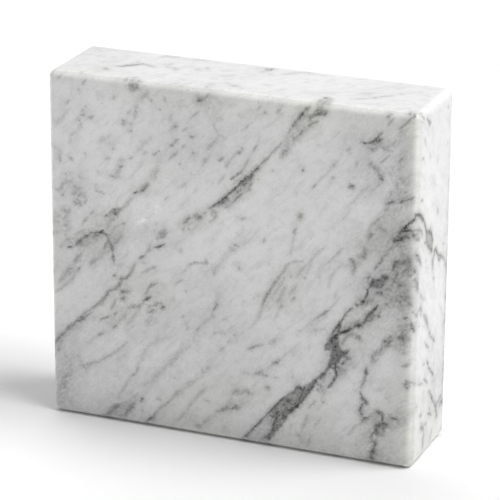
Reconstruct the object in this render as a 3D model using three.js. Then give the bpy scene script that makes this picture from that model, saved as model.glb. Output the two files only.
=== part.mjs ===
// Marble plinth: one solid block of white marble that stands on its narrow underside.
//
// Millimetres, +Z up. The origin is the middle of the underside, +X runs along the width,
// and the broad front face looks along -Y.

import * as THREE from 'three';
import { RoundedBoxGeometry } from 'three/addons/geometries/RoundedBoxGeometry.js';
import { mergeVertices } from 'three/addons/utils/BufferGeometryUtils.js';

// The block.
const WIDTH = 192;          // along X
const THICKNESS = 50;       // along Y, a standard thickness of sawn slab
const HEIGHT = 180;         // along Z
const ARRIS_RADIUS = 4;     // the twelve edges are eased to this radius, the eight corners to balls of it

// Facets on half of an eased edge, so a quarter round has twice as many.
const HALF_ARC_FACETS = 5;

// Honed white marble.
const MARBLE_COLOUR = 0xdcdcda;
const MARBLE_ROUGHNESS = 0.32;

function marbleMaterial() {
  return new THREE.MeshStandardMaterial({
    color: MARBLE_COLOUR,
    roughness: MARBLE_ROUGHNESS,
    metalness: 0,
  });
}

// A box with rounded edges and corners, as one closed skin: only positions are left,
// so that the six sides share the vertices where they meet.
function easedBlock(width, thickness, height, radius) {
  const geometry = new RoundedBoxGeometry(width, thickness, height, HALF_ARC_FACETS, radius);
  geometry.deleteAttribute('normal');
  geometry.deleteAttribute('uv');
  return mergeVertices(geometry);
}

function marbleBlock() {
  const geometry = easedBlock(WIDTH, THICKNESS, HEIGHT, ARRIS_RADIUS);
  geometry.computeVertexNormals();
  const block = new THREE.Mesh(geometry, marbleMaterial());
  block.name = 'marble_block';
  block.position.set(0, 0, HEIGHT / 2);
  return block;
}

const plinth = new THREE.Group();
plinth.name = 'marble_plinth';
plinth.add(marbleBlock());

export default plinth;
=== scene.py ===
import math

import bpy
import numpy as np
from mathutils import Matrix, Vector, noise


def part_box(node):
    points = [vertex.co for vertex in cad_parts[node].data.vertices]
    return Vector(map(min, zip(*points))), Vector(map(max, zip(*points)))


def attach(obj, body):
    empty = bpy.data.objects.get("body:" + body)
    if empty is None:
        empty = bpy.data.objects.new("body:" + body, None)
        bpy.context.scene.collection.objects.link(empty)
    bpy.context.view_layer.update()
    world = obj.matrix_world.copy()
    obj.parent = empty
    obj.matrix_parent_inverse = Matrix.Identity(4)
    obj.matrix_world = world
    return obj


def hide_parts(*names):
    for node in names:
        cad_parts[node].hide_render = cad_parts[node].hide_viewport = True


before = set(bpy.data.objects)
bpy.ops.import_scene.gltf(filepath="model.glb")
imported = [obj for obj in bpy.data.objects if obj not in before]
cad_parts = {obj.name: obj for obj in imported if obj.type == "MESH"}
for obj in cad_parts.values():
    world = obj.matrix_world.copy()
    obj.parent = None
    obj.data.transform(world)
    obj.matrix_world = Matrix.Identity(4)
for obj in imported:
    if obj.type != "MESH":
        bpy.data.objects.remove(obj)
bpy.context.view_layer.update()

# Marble plinth: a block of white marble with grey veins, on a plain pale floor.
# Lengths in the tables below are millimetres, in the frame's axes: +X along the width,
# the front face looks along -Y, +Z up, and the origin is the middle of the underside.
MM = 0.001
NODE = "marble_block"
LOW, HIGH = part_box(NODE)
WIDTH, DEPTH, HEIGHT = (HIGH - LOW) / MM

# ---------------------------------------------------------------- the block's mesh

EDGE_RADIUS = 4.0        # rounding of every edge and corner
EDGE_STEPS = 6           # faces across half of a rounded edge
CELL = 1.1               # grid pitch on the flat faces
WELD_DECIMALS = 4        # vertices of two sides that agree to this many decimals are one

SURFACE_WAVER = 0.03     # how far the polish wanders from flat
SURFACE_WAVE = 30.0      # and over what length
EDGE_WAVER = 0.22        # how far the hand-eased edges wander from their radius
EDGE_WAVE = 14.0         # and over what length
EDGE_SWING = 0.7         # how hard they swing between none of that waver and all of it
EDGE_FLAT = 0.2          # how much the middle of the rounding is rubbed flat


def axis_lines(length):
    """Grid lines along one axis, as core places and lean angles from one rounded edge to the other."""
    half = length / 2 - EDGE_RADIUS
    cells = round(2 * half / CELL)
    lean = np.linspace(0, math.pi / 4, EDGE_STEPS + 1)[1:]
    flat = np.linspace(-half, half, cells + 1)
    core = np.concatenate([np.full(EDGE_STEPS, -half), flat, np.full(EDGE_STEPS, half)])
    tilt = np.concatenate([-lean[::-1], np.zeros(cells + 1), lean])
    return core, tilt


def side_patch(axis, sign, lines, size):
    """One side of the block: places, outward normals, and lengths along the surface, on a grid."""
    across, up = (axis + 1) % 3, (axis + 2) % 3
    core_across, tilt_across = lines[across]
    core_up, tilt_up = lines[up]
    shape = (len(core_across), len(core_up))
    normal = np.zeros(shape + (3,))
    normal[..., across] = np.tan(tilt_across)[:, None]
    normal[..., up] = np.tan(tilt_up)[None, :]
    normal[..., axis] = sign
    normal /= np.linalg.norm(normal, axis=-1, keepdims=True)
    place = np.zeros(shape + (3,))
    place[..., across] = core_across[:, None]
    place[..., up] = core_up[None, :]
    place[..., axis] = sign * (size[axis] / 2 - EDGE_RADIUS)
    place += EDGE_RADIUS * normal
    run = np.zeros(shape + (2,))
    run[..., 0] = (core_across + EDGE_RADIUS * tilt_across)[:, None]
    run[..., 1] = (core_up + EDGE_RADIUS * tilt_up)[None, :]
    return place, normal, run


def grid_quads(rows, columns, start, flipped):
    """The quads of a grid whose vertices are numbered from start."""
    index = start + np.arange(rows * columns).reshape(rows, columns)
    corners = [index[:-1, :-1], index[1:, :-1], index[1:, 1:], index[:-1, 1:]]
    quads = np.stack(corners, -1).reshape(-1, 4)
    return quads[:, ::-1] if flipped else quads


# Where each side lies on the bake map, in rows of (axis, sign, turned) from the bottom up.
MAP_ROWS = (
    ((0, 1, True), (0, -1, True)),
    ((2, 1, False), (2, -1, False)),
    ((1, -1, True), (1, 1, True)),
)
MAP_GAP = 2.0


def block_grid():
    """The rounded block: welded vertices, their normals, quads, and each corner's place on the bake map."""
    size = (WIDTH, DEPTH, HEIGHT)
    lines = [axis_lines(length) for length in size]
    places, normals, quads, maps = [], [], [], []
    start = 0
    map_side = 0
    row_v = MAP_GAP
    for row in MAP_ROWS:
        row_u = MAP_GAP
        row_height = 0
        for axis, sign, turned in row:
            place, normal, run = side_patch(axis, sign, lines, size)
            spot = run - run[0, 0]
            if turned:
                spot = spot[..., ::-1]
            extent = spot[-1, -1]
            places.append(place.reshape(-1, 3))
            normals.append(normal.reshape(-1, 3))
            maps.append((spot + (row_u, row_v)).reshape(-1, 2))
            quads.append(grid_quads(*place.shape[:2], start, sign < 0))
            start += len(places[-1])
            row_u += extent[0] + MAP_GAP
            row_height = max(row_height, extent[1])
        row_v += row_height + MAP_GAP
        map_side = max(map_side, row_u, row_v)
    places, normals, maps, quads = (np.concatenate(part) for part in (places, normals, maps, quads))
    _, first, welded = np.unique(
        np.round(places, WELD_DECIMALS), axis=0, return_index=True, return_inverse=True)
    return places[first], normals[first], welded.reshape(-1)[quads], maps[quads] / map_side


def block_mesh():
    """The block's mesh, with the places and normals of its vertices before the waver."""
    places, normals, quads, maps = block_grid()
    places[:, 2] += HEIGHT / 2
    offset = relief(places, normals)
    mesh = bpy.data.meshes.new("marble_block_skin")
    mesh.from_pydata((places - normals * offset[:, None]) * MM, [], quads.tolist())
    mesh.polygons.foreach_set("use_smooth", np.ones(len(quads), bool))
    layer = mesh.uv_layers.new(name="OFBake")
    layer.data.foreach_set("uv", maps.astype(np.float32).ravel())
    return mesh, places, normals


SEED_STEP = (17.3, 5.1, 9.7)    # how far apart in the noise two seeds are


def field(places, wavelength, seed=0):
    """Smooth noise from -1 to 1 at each place."""
    shift = Vector([seed * step for step in SEED_STEP])
    return np.array([noise.noise(Vector(place) / wavelength + shift) for place in places])


def roundness(normals):
    """0 on the flat faces, three quarters in the middle of the rounded edges, more at the corners."""
    return 1 - np.abs(normals).max(1) ** 4


def relief(places, normals):
    """How far each vertex sits inside the true block: slight waver of the polish and of the eased edges."""
    facing = np.abs(normals).max(1) ** 2    # 1 on the flat faces, a half in the middle of the edges
    flat = EDGE_FLAT * 4 * facing * (1 - facing)
    waver = SURFACE_WAVER * (0.5 + 0.5 * field(places, SURFACE_WAVE))
    edges = EDGE_WAVER * np.clip(0.5 + EDGE_SWING * field(places, EDGE_WAVE, 1), 0, 1)
    return waver + flat + edges * roundness(normals)


# ---------------------------------------------------------------- veins drawn on the stone

FRONT_Y, BACK_Y = -DEPTH / 2, DEPTH / 2
LEFT_X, RIGHT_X = -WIDTH / 2, WIDTH / 2


def front(points):
    return [(x, FRONT_Y, z) for x, z in points]


def back(points):
    return [(x, BACK_Y, z) for x, z in points]


def right(points):
    return [(RIGHT_X, y, z) for y, z in points]


def left(points):
    return [(LEFT_X, y, z) for y, z in points]


def top(points):
    return [(x, y, HEIGHT) for x, y in points]


def under(points):
    return [(x, y, 0) for x, y in points]


# Each row is one mark: its half width, its darkness from 0 to 1, and the points it runs through.
# A row with one point is a spot. Points are (x, z) on the front and back, (y, z) on the right and
# left, and (x, y) on the top and the underside. A white mark has a darkness below 0.
FRONT_MARKS = (
    # the top left corner
    (1.3, 0.13, (-85.6, 160.6), (-87, 158.4), (-88.6, 156), (-92.4, 152.4)),
    (1.2, 0.14, (-62.6, 150.6), (-66, 148.4), (-69, 146)),
    (1.2, 0.2, (-92.4, 141)),
    (1.2, 0.28, (-90.4, 176.4), (-89, 177)),
    (0.8, 0.32, (-79, 172)),
    (0.7, 0.27, (-85.9, 163.6), (-84.3, 165.9)),
    (0.7, 0.4, (-78.8, 156.2)),
    (1.3, 0.2, (-77.8, 154.4), (-79.2, 152)),
    (1.0, 0.13, (-80.4, 151), (-82.4, 148.6)),
    (0.6, 0.3, (-82.8, 148.3)),
    (1.1, 0.18, (-83.4, 146.4), (-84.2, 144)),
    (1.0, 0.16, (-89.4, 139.6), (-88.8, 138)),
    (1.1, 0.32, (-84.8, 136.8), (-82.8, 135.2)),
    (1.0, 0.32, (-90, 136.8), (-89.6, 133.6)),
    (0.8, 0.28, (-75.4, 177), (-77, 174.8)),
    (0.8, 0.32, (-75.4, 163.5)),
    (0.9, 0.38, (-77.2, 161.4), (-76.4, 161.4)),
    (0.9, 0.34, (-77.6, 159.2), (-76.6, 159.4)),
    (0.8, 0.25, (-73.2, 158.2), (-71.8, 159.4)),
    (0.8, 0.2, (-74, 157.6), (-71.6, 158.8)),
    (0.9, 0.28, (-76, 139.7)),
    (0.8, 0.22, (-60.6, 169.6), (-59.6, 170.4)),
    (1.0, 0.4, (-55.8, 158.9), (-54.4, 158.7)),
    (0.8, 0.35, (-56, 157.2), (-54.6, 157)),
    (0.7, 0.28, (-60.8, 144)),
    (1.0, 0.38, (-64.8, 138.4), (-63.6, 138.8)),
    (1.0, 0.1, (-58.6, 138), (-56.4, 138.8), (-54.6, 139)),
    (0.8, 0.5, (-57.4, 135.2), (-56.6, 135.6)),
    (0.9, 0.22, (-51.8, 178.2), (-49.6, 178.2), (-48, 178.2)),
    (0.7, 0.2, (-52, 177.4), (-49.8, 176.6)),
    (0.9, 0.22, (-49.4, 176), (-47.6, 176.4)),
    (0.8, 0.22, (-49.4, 176.2), (-47.4, 176.2)),
    (0.9, 0.24, (-51.6, 176), (-50, 174.6)),
    (0.9, 0.2, (-48.6, 165.6), (-48, 167.6)),
    (0.8, 0.5, (-48.8, 164.1)),
    (0.8, 0.25, (-52.8, 162.8), (-51.6, 164.2)),
    (0.8, 0.17, (-49.6, 163.4), (-49.2, 160.6)),
    (0.9, 0.4, (-51.2, 157.7)),
    (0.9, 0.38, (-52, 153.9), (-51.2, 154.1)),
    (0.7, 0.28, (-52.2, 139.8), (-50.4, 141.2)),
    # the top, left of the middle
    (1.2, 0.06, (-11, 176.4), (-7, 176), (-4, 173.4), (-4.6, 170.4), (-8, 168.8)),
    (0.8, 0.17, (-8.4, 165), (-7, 161), (-5.2, 157.4)),
    (1.0, 0.18, (-12, 148.8), (-9.4, 152), (-7, 154.8), (-4.2, 157.4)),
    (1.4, 0.14, (-40, 153), (-43.4, 150), (-46.4, 146.4), (-49.4, 143.2)),
    (0.8, 0.3, (-26.8, 147), (-29, 144.6), (-31, 142.2)),
    (0.7, 0.18, (-14, 141), (-12, 144), (-10, 147)),
    (1.3, 0.1, (-31, 149), (-33.6, 145), (-37, 139.6), (-39.4, 135)),
    (0.8, 0.18, (-5.6, 133.4), (-3.6, 136), (-1.4, 138.8)),
    (1.3, 0.3, (-45.4, 171.8), (-43, 173.4), (-42, 175)),
    (1.0, 0.2, (-44.6, 143.8), (-43.4, 144.6)),
    (0.8, 0.22, (-34, 173.4), (-33, 171)),
    (0.9, 0.38, (-40.6, 170.8)),
    (0.8, 0.35, (-35.8, 167)),
    (1.1, 0.2, (-31, 162), (-29.4, 165.4)),
    (0.7, 0.38, (-36.6, 145.8)),
    (0.9, 0.34, (-39.3, 143.8), (-38, 144.4)),
    (0.7, 0.35, (-27.8, 159.3)),
    (0.8, 0.24, (-24, 157.2), (-21.4, 159.8)),
    (1.2, 0.14, (-27.6, 156.8), (-29, 159.2)),
    (1.4, 0.1, (-28, 159.6), (-29.6, 157.4), (-30, 155.4)),
    (1.0, 0.42, (-19.6, 155.2), (-18.8, 155.2)),
    (0.8, 0.35, (-28.6, 151), (-26.4, 153)),
    (0.9, 0.5, (-30.2, 149.6), (-29.4, 150)),
    (0.8, 0.2, (-24.6, 148.4), (-22.6, 151)),
    (0.8, 0.35, (-18.6, 147.2)),
    (0.8, 0.28, (-25.6, 140.6)),
    (0.7, 0.28, (-19.6, 136.4)),
    (0.8, 0.33, (-12.6, 175.4), (-11.2, 176.8)),
    (2.2, 0.27, (-18, 174.2), (-13.4, 174.6)),
    (1.0, 0.65, (-15.7, 173.8), (-14.7, 174.2)),
    (0.8, 0.24, (-19.6, 164.4), (-17.4, 166.6), (-15.6, 168.4)),
    (2.0, 0.1, (-9, 167), (-5, 165.6)),
    (0.8, 0.3, (-9.6, 151.8)),
    (0.8, 0.28, (-12.6, 144.6)),
    (0.9, 0.5, (-4.8, 145.2), (-3.8, 146.4)),
    (0.9, 0.3, (-1.8, 142.4), (-0.4, 144)),
    # the top, right of the middle: the long vein runs up to the edge here
    (1.0, 0.55, (43.6, 173.4), (46, 174.4), (48, 174.6), (49.8, 175.6)),
    (0.9, 0.42, (30.4, 163.6), (31.8, 165.8), (33.6, 168.6), (35, 170.8)),
    (2.2, 0.14, (31.6, 161), (37, 170)),
    (0.8, 0.18, (6.4, 161), (8.4, 163), (10.6, 165.6)),
    (0.9, 0.12, (26.6, 157.4), (28.8, 160.2), (30.2, 163)),
    (1.6, 0.16, (27, 152), (31, 156.4), (33.6, 160.6)),
    (0.75, 0.28, (20.4, 150.2), (22.4, 152.8), (24.4, 155), (26.6, 157.4)),
    (0.7, 0.1, (10, 147.6), (12, 151), (14, 154.4), (16.6, 160.6)),
    (1.4, 0.26, (26.2, 150), (28.4, 153), (30.4, 155.8)),
    (0.8, 0.18, (-0.4, 144), (1.6, 147), (3.6, 149.4), (5, 151)),
    (0.8, 0.24, (6.6, 141), (8.2, 144), (10, 147.6)),
    (1.2, 0.6, (6, 135), (8.6, 137.4), (12, 140.2)),
    (1.1, 0.45, (8.4, 135.6), (10.4, 137.6), (12.6, 140)),
    (0.9, 0.45, (5, 149.6), (6.2, 151.4)),
    (0.7, 0.33, (5, 139.2), (7, 141)),
    (0.7, 0.45, (3.2, 138.2), (4.8, 139.6)),
    (0.7, 0.6, (1, 136.4), (2.8, 137.8)),
    (0.8, 0.2, (2.4, 133.8), (4.2, 136.2)),
    (0.7, 0.18, (14.4, 172.4), (16, 175)),
    (1.6, 0.16, (4.6, 169), (8, 168.2)),
    (0.9, 0.26, (12.6, 152.2), (14, 154.8)),
    (0.8, 0.35, (6.8, 152.6)),
    (1.1, 0.6, (13, 141.8), (14.4, 143.2), (15.4, 144.8)),
    (1.2, 0.35, (10.8, 140), (12.8, 141.8)),
    (0.7, 0.35, (15.2, 138)),
    (0.8, 0.5, (5.6, 134.8), (7.4, 136.4)),
    (0.7, 0.24, (24.4, 172), (26.6, 175.2)),
    (0.8, 0.38, (18.4, 171.8)),
    (0.8, 0.4, (16.4, 145.8), (18.4, 148), (20.4, 150.2)),
    (0.8, 0.3, (22.6, 143.4)),
    (0.9, 0.38, (38, 174.6), (39.4, 176.2), (40.8, 177.8)),
    (0.7, 0.4, (36.8, 172.4), (37.8, 174.2)),
    (1.1, 0.2, (38.6, 172), (39.6, 173.6)),
    (0.95, 0.5, (35, 170.8), (36.6, 172.8), (38, 174.6)),
    (1.0, 0.4, (40.8, 170.6), (41.6, 172.6), (43, 174)),
    (0.9, 0.5, (40.4, 168), (42.4, 169.2)),
    (1.4, 0.18, (37.6, 165), (40, 167.4)),
    (1.0, 0.5, (36.4, 163.8), (37, 165)),
    (1.5, 0.24, (33.6, 160.4), (36, 163.4)),
    (0.8, 0.6, (38, 145.7)),
    (0.8, 0.25, (45, 177.4), (47.6, 178.6)),
    (0.8, 0.38, (43, 169.8), (44.8, 170.6)),
    (0.6, 0.3, (43, 137.6), (44.6, 139.4)),
    # the top right corner
    (0.65, 0.38, (85.9, 172.1), (88.3, 174.7), (90.5, 177.4), (93.4, 180)),
    (0.8, 0.52, (69, 163), (71, 163.5), (73, 164.4), (75, 166), (76, 168), (77, 169.2)),
    (0.65, 0.28, (76.6, 154.4), (79, 156.4), (81.2, 158.8)),
    (2.0, 0.13, (82, 150), (85, 155), (88, 159.4), (91, 164)),
    (1.3, 0.3, (71.4, 155), (72.4, 152.6), (74.4, 151.4), (75.8, 149.8)),
    (0.6, 0.1, (42.6, 137), (46, 141.4), (50, 145.4), (54, 151), (58, 156)),
    (1.0, 0.14, (60, 129.6), (64, 134), (68, 139), (71.4, 142)),
    (0.8, 0.3, (53.4, 150.4)),
    (0.9, 0.4, (52.8, 143.6), (53.4, 144)),
    (0.9, 0.22, (60.2, 158.4), (61.4, 160)),
    (0.9, 0.18, (65, 153.6), (65, 151.6)),
    (1.4, 0.55, (61.4, 140.4), (63.4, 141.4)),
    (1.0, 0.6, (75.4, 164.6), (77.4, 166.2)),
    (1.3, 0.34, (72, 163.2), (74, 163.6), (76.4, 164)),
    (0.7, 0.5, (67.5, 163.1), (69, 163)),
    (1.1, 0.36, (71, 161), (73, 160.4), (75, 161.8)),
    (1.0, 0.28, (75.8, 149.8), (77, 147.8)),
    (1.2, 0.6, (77.2, 146.9), (77.6, 146.4)),
    (0.8, 0.28, (79.4, 176.8), (81.6, 179.4)),
    (0.8, 0.28, (80, 173), (82.6, 176.4)),
    (1.0, 0.22, (82.8, 163.6), (84.2, 166)),
    (1.2, 0.28, (77, 162.2), (80.2, 160.8)),
    (0.7, 0.3, (85.6, 155.6), (87.8, 158.4)),
    (1.0, 0.28, (84.6, 143), (85.2, 144.2)),
    (0.8, 0.4, (89.5, 141.4)),
    (0.9, 0.3, (81.8, 139), (82.4, 140.8)),
    (0.9, 0.55, (86.4, 136.3), (88.4, 137)),
    (1.1, 0.5, (80.6, 134.6), (82, 135.7), (84, 136)),
    (0.7, 0.4, (88.4, 137), (91, 138), (93.8, 139.4)),
    # above mid height, on the left: the arc and what hangs from it
    (0.9, 0.18, (-63.6, 129.6), (-60, 129.6), (-57.6, 129.8)),
    (1.1, 0.26, (-92, 119.2), (-90.4, 119), (-89, 120.6), (-88.6, 122.4), (-86.6, 123.2)),
    (1.0, 0.28, (-57, 113.4), (-55, 115), (-53, 117.8), (-51.2, 120)),
    (0.8, 0.4, (-63.4, 110.6), (-61, 112.4), (-58.6, 113.2), (-56.6, 113.9)),
    (0.9, 0.2, (-88, 104), (-86, 107), (-84.5, 109)),
    (1.2, 0.2, (-65.5, 101.5), (-64, 104), (-62.3, 107)),
    (0.75, 0.58, (-74, 98.8), (-72, 99.1), (-70, 99.4), (-67, 99.8), (-64.6, 99)),
    (0.9, 0.2, (-82.5, 96.5), (-79, 98.5), (-76, 100.5)),
    (1.0, 0.25, (-60.8, 94.5), (-58.8, 96.8), (-56.4, 100)),
    (0.8, 0.45, (-64.4, 98), (-63.2, 95.2), (-62, 93.2), (-61.6, 91)),
    (2.2, 0.22, (-93, 103), (-94, 107)),
    (0.7, 0.3, (-86.6, 127.8)),
    (1.0, 0.2, (-79, 127.4), (-77.6, 126.6)),
    (0.9, 0.22, (-86, 124.6), (-84.2, 124), (-83, 125)),
    (1.1, 0.28, (-82, 122), (-80.4, 121), (-78.4, 121.6)),
    (1.2, 0.24, (-82.6, 118), (-81.4, 119)),
    (1.0, 0.36, (-79.8, 117.4), (-78.6, 118.2)),
    (0.9, 0.5, (-88.4, 116.6)),
    (0.8, 0.42, (-80.6, 115), (-79.6, 114.6)),
    (3.2, 0.12, (-80, 114)),
    (0.9, 0.4, (-82.6, 114), (-81.4, 113)),
    (0.8, 0.34, (-79.6, 113.4), (-78.6, 112.6)),
    (0.8, 0.28, (-85, 109.6)),
    (0.8, 0.36, (-87.4, 108.8), (-86, 108.2)),
    (0.8, 0.3, (-89, 108.4)),
    (0.9, 0.25, (-88, 92), (-85.5, 94), (-83.5, 94.6)),
    (1.2, 0.62, (-81.6, 92), (-80, 93.4), (-78.4, 95)),
    (0.7, 0.28, (-69.2, 131.2)),
    (1.1, 0.16, (-70, 125), (-71, 121.6)),
    (0.7, 0.25, (-70.6, 121), (-68, 120.6), (-66.4, 120)),
    (1.2, 0.2, (-76.6, 118.6), (-76, 116.6)),
    (0.8, 0.3, (-76.4, 114), (-75.6, 115.2)),
    (0.8, 0.25, (-73.4, 108.6), (-72, 110)),
    (0.8, 0.28, (-77.8, 102.6), (-76.6, 105), (-75, 107)),
    (0.6, 0.6, (-68.2, 100), (-66.4, 101)),
    (0.9, 0.4, (-72, 97), (-70, 98.3)),
    (0.8, 0.52, (-77.8, 95.4), (-76.3, 96.6), (-74.6, 97.4)),
    (1.2, 0.2, (-57.8, 133.6), (-60, 131.4)),
    (0.8, 0.3, (-61.4, 129.8)),
    (0.7, 0.35, (-61.4, 110.2), (-58.6, 111.8)),
    (1.0, 0.55, (-60, 110.4)),
    (0.7, 0.5, (-65, 109)),
    (0.8, 0.4, (-62.5, 106.9), (-60.8, 107.8)),
    (0.7, 0.35, (-56.4, 105.6), (-55.2, 106.2)),
    (0.9, 0.16, (-62, 101), (-60.6, 103.6), (-58, 105)),
    (0.7, 0.55, (-64.8, 98.8)),
    (0.9, 0.4, (-66.6, 91.8), (-65.4, 93.6), (-64.4, 96)),
    (1.3, 0.34, (-62, 92)),
    (0.7, 0.65, (-49.8, 122.6), (-48.4, 123.4)),
    # above mid height, left of the middle
    (2.2, 0.1, (-48, 123.5), (-43, 127.5)),
    (1.1, 0.6, (-46.8, 123.8), (-44.6, 125.6), (-42.4, 128)),
    (0.9, 0.68, (-5.4, 123.6), (-2.4, 126.2), (0, 129)),
    (2.2, 0.12, (-6, 122.6), (0, 127)),
    (0.7, 0.6, (-10.2, 120), (-8, 121.8), (-5.4, 124)),
    (1.0, 0.26, (-9.4, 119.6), (-7.6, 118.6), (-6.8, 116.6), (-8.2, 114.4), (-9.8, 113.6)),
    (2.4, 0.17, (-27, 109), (-20, 112), (-13, 116)),
    (0.7, 0.7, (-39.4, 95.8), (-37, 96.6), (-35.4, 97.6), (-33.8, 98.4)),
    (1.0, 0.16, (-40.5, 99), (-42, 96), (-43.6, 93)),
    (1.3, 0.11, (1, 99), (-2, 96), (-5, 92), (-9, 88)),
    (0.8, 0.28, (-20.6, 89.8), (-17.4, 91), (-14.4, 91.4)),
    (0.8, 0.55, (-47.4, 89.4), (-46, 90.2), (-44.6, 91.2)),
    (0.7, 0.25, (-33, 121.6), (-32, 123)),
    (1.2, 0.3, (-37, 103), (-35, 104.6), (-33.4, 106)),
    (1.2, 0.3, (-37.6, 101), (-35, 102.4), (-33.2, 104.4)),
    (0.8, 0.2, (-44, 92), (-42, 94), (-39.6, 96)),
    (0.8, 0.24, (-24.6, 129.4), (-22.8, 131.4)),
    (0.8, 0.6, (-21.6, 112.8), (-20.8, 113.8)),
    (0.7, 0.5, (-23.6, 110.9), (-22.2, 111.8)),
    (0.7, 0.38, (-20.9, 108)),
    (0.8, 0.35, (-24, 107.3)),
    (1.3, 0.22, (-25.4, 96.2)),
    (0.8, 0.4, (-12.8, 117.2), (-11.8, 117.8)),
    (0.7, 0.25, (-9, 117.6), (-7.8, 116)),
    (0.8, 0.35, (-18, 115.4), (-16.6, 116.2)),
    (1.1, 0.65, (-16, 114.6), (-15, 115)),
    (1.1, 0.3, (-13.6, 91), (-11.8, 92), (-12, 93.6)),
    (1.0, 0.4, (-5, 122.6), (-3, 124.4), (-1, 126.8)),
    (0.7, 0.25, (-2.2, 121.4), (0.2, 123.4)),
    # above mid height, right of the middle: the tail of the long vein
    (2, 0.12, (3, 129.6), (8, 133.6), (11, 136)),
    (0.75, 0.7, (0, 129), (3, 131.6), (5.8, 134.4)),
    (0.7, 0.5, (2, 125), (4, 127), (6, 129), (7.4, 130.4)),
    (1.1, 0.12, (35.6, 119), (34, 112), (32.8, 106), (32, 101)),
    (0.9, 0.11, (6.6, 103.6), (9, 105.4), (11.2, 106.8), (13.4, 110), (16, 114)),
    (1.1, 0.14, (40.6, 93), (42, 98), (44.4, 103.6), (49, 108)),
    (0.9, 0.22, (31.4, 97.6), (34, 99), (38.4, 100)),
    (1.1, 0.3, (26.2, 89.8), (28.2, 92.8), (30, 95.6), (31.4, 97.6)),
    (1.0, 0.22, (35, 91), (37, 94), (39.6, 97.4)),
    (0.7, 0.42, (3.4, 129.6), (5, 130.8), (6.6, 132)),
    (0.8, 0.4, (3, 102.8), (3.8, 103)),
    (0.8, 0.38, (5.2, 102.6)),
    (0.9, 0.28, (1, 101.4)),
    (0.7, 0.25, (1.6, 100), (3.6, 101.2)),
    (1.3, 0.13, (2.6, 93.6), (6.4, 95)),
    (1.0, 0.22, (5.2, 92.6), (6, 90.6)),
    (1.0, 0.42, (7, 134), (9.2, 135.6)),
    (0.8, 0.3, (10.4, 133.4), (11.8, 135.6)),
    (0.8, 0.35, (9.2, 131.4), (10.8, 132.6)),
    (1.0, 0.33, (7.2, 117.2), (8.2, 117.6)),
    (0.8, 0.32, (18.9, 108.8), (17.9, 106.8)),
    (0.5, 0.32, (21, 96)),
    (0.5, 0.3, (35, 133.7)),
    (1.4, 0.35, (36.8, 122.4), (37.2, 123.2)),
    (0.9, 0.28, (34.4, 115.4), (33.6, 113.6)),
    (0.7, 0.45, (39.6, 91.6)),
    (0.9, 0.3, (32.4, 91.3)),
    (0.7, 0.26, (47, 92.8)),
    # above mid height, on the right: the small ragged patch and what runs past it
    (1.0, 0.25, (71.4, 120.6), (73.6, 123.6), (76, 126), (79, 128.4)),
    (0.8, 0.8, (87, 120.6), (88.2, 122.4), (89.8, 124.4), (91.8, 126.6)),
    (0.8, 0.7, (87.8, 121.4), (89.6, 122.2), (91.6, 122.8), (93.6, 122.4)),
    (0.8, 0.1, (80.6, 115.4), (83, 118), (84.6, 121)),
    (1.12, 0.34, (87.3, 105.3), (88.3, 106.8), (90, 107.3), (92.5, 107.3)),
    (0.6, 0.22, (52, 101.4), (55, 105), (59, 109.4)),
    (1.3, 0.4, (63.2, 104), (64.8, 102.4), (64.6, 99.6), (63.8, 97)),
    (0.8, 0.25, (84.5, 97), (86, 96), (87.5, 95), (89, 95.3), (90.5, 95.8)),
    (0.9, 0.14, (51.6, 88), (52.4, 92), (55, 97), (58, 100.4)),
    (1.25, 0.34, (62.5, 104), (63.7, 103.3)),
    (1.3, 0.25, (77.4, 124), (75.6, 121)),
    (1.2, 0.45, (72.6, 118.8), (73.2, 118.4)),
    (1.2, 0.25, (72.2, 117)),
    (0.9, 0.25, (71.2, 115), (72.8, 118)),
    (1.2, 0.38, (69.3, 111.6), (70, 109), (69.6, 106)),
    (1.25, 0.29, (69.3, 106.5)),
    (1.62, 0.32, (66.6, 106), (67.4, 106.4)),
    (0.62, 0.63, (77.5, 104.6)),
    (0.75, 0.34, (75, 100.5), (76, 102.5), (77.3, 104.4)),
    (0.88, 0.63, (71.6, 96.2), (72.2, 96.7)),
    (0.75, 0.57, (74.3, 95.7)),
    (0.88, 0.69, (76.6, 95.6)),
    (0.88, 0.8, (74.1, 94)),
    (0.75, 0.57, (72, 91.2), (73, 92), (73.5, 93.5), (74, 94.5)),
    (0.9, 0.2, (80.4, 133), (80, 130.6)),
    (1.3, 0.33, (78.6, 121.8), (79.8, 120.8)),
    (1.0, 0.3, (85.6, 118.4), (87, 119.6), (88.4, 121)),
    (1.3, 0.6, (85.6, 117.2), (87, 118), (88.8, 119), (91, 119.6)),
    (0.8, 0.75, (85.8, 117), (87.4, 117.6)),
    (0.8, 0.7, (84.2, 116.4), (84.8, 117)),
    (0.75, 0.23, (82, 111), (84, 115)),
    (0.88, 0.23, (88.5, 110), (90, 111.5)),
    (0.88, 0.29, (78.6, 107), (79, 107.8), (80, 109), (81.5, 110.2)),
    (0.75, 0.46, (86.2, 106.1)),
    (0.69, 0.57, (78.1, 105.7), (78.3, 106.4)),
    (1.1, 0.5, (84, 102), (84.8, 104), (85.2, 105.8), (86.8, 106.4)),
    (0.75, 0.4, (85.2, 98), (86.3, 100), (86.7, 101.2)),
    (0.75, 0.57, (79.1, 98)),
    (1.12, 0.52, (80.4, 97.2), (81.6, 98)),
    (0.88, 0.57, (84.9, 96.4)),
    (0.75, 0.46, (79.2, 95.5)),
    (0.75, 0.29, (87, 94.2), (89, 94.8)),
    (0.75, 0.57, (79.2, 93.4)),
    (1, 0.34, (81, 91.3), (82.4, 92)),
    (0.88, 0.29, (83.4, 91)),
    (0.8, 0.6, (91.8, 126.6), (94, 128.2), (96.4, 130)),
    (1.0, 0.3, (93.8, 121.6), (94.6, 119.6)),
    (0.8, 0.4, (94.4, 121), (95.2, 119.2)),
    (0.9, 0.4, (90, 119.8), (92, 119)),
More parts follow.
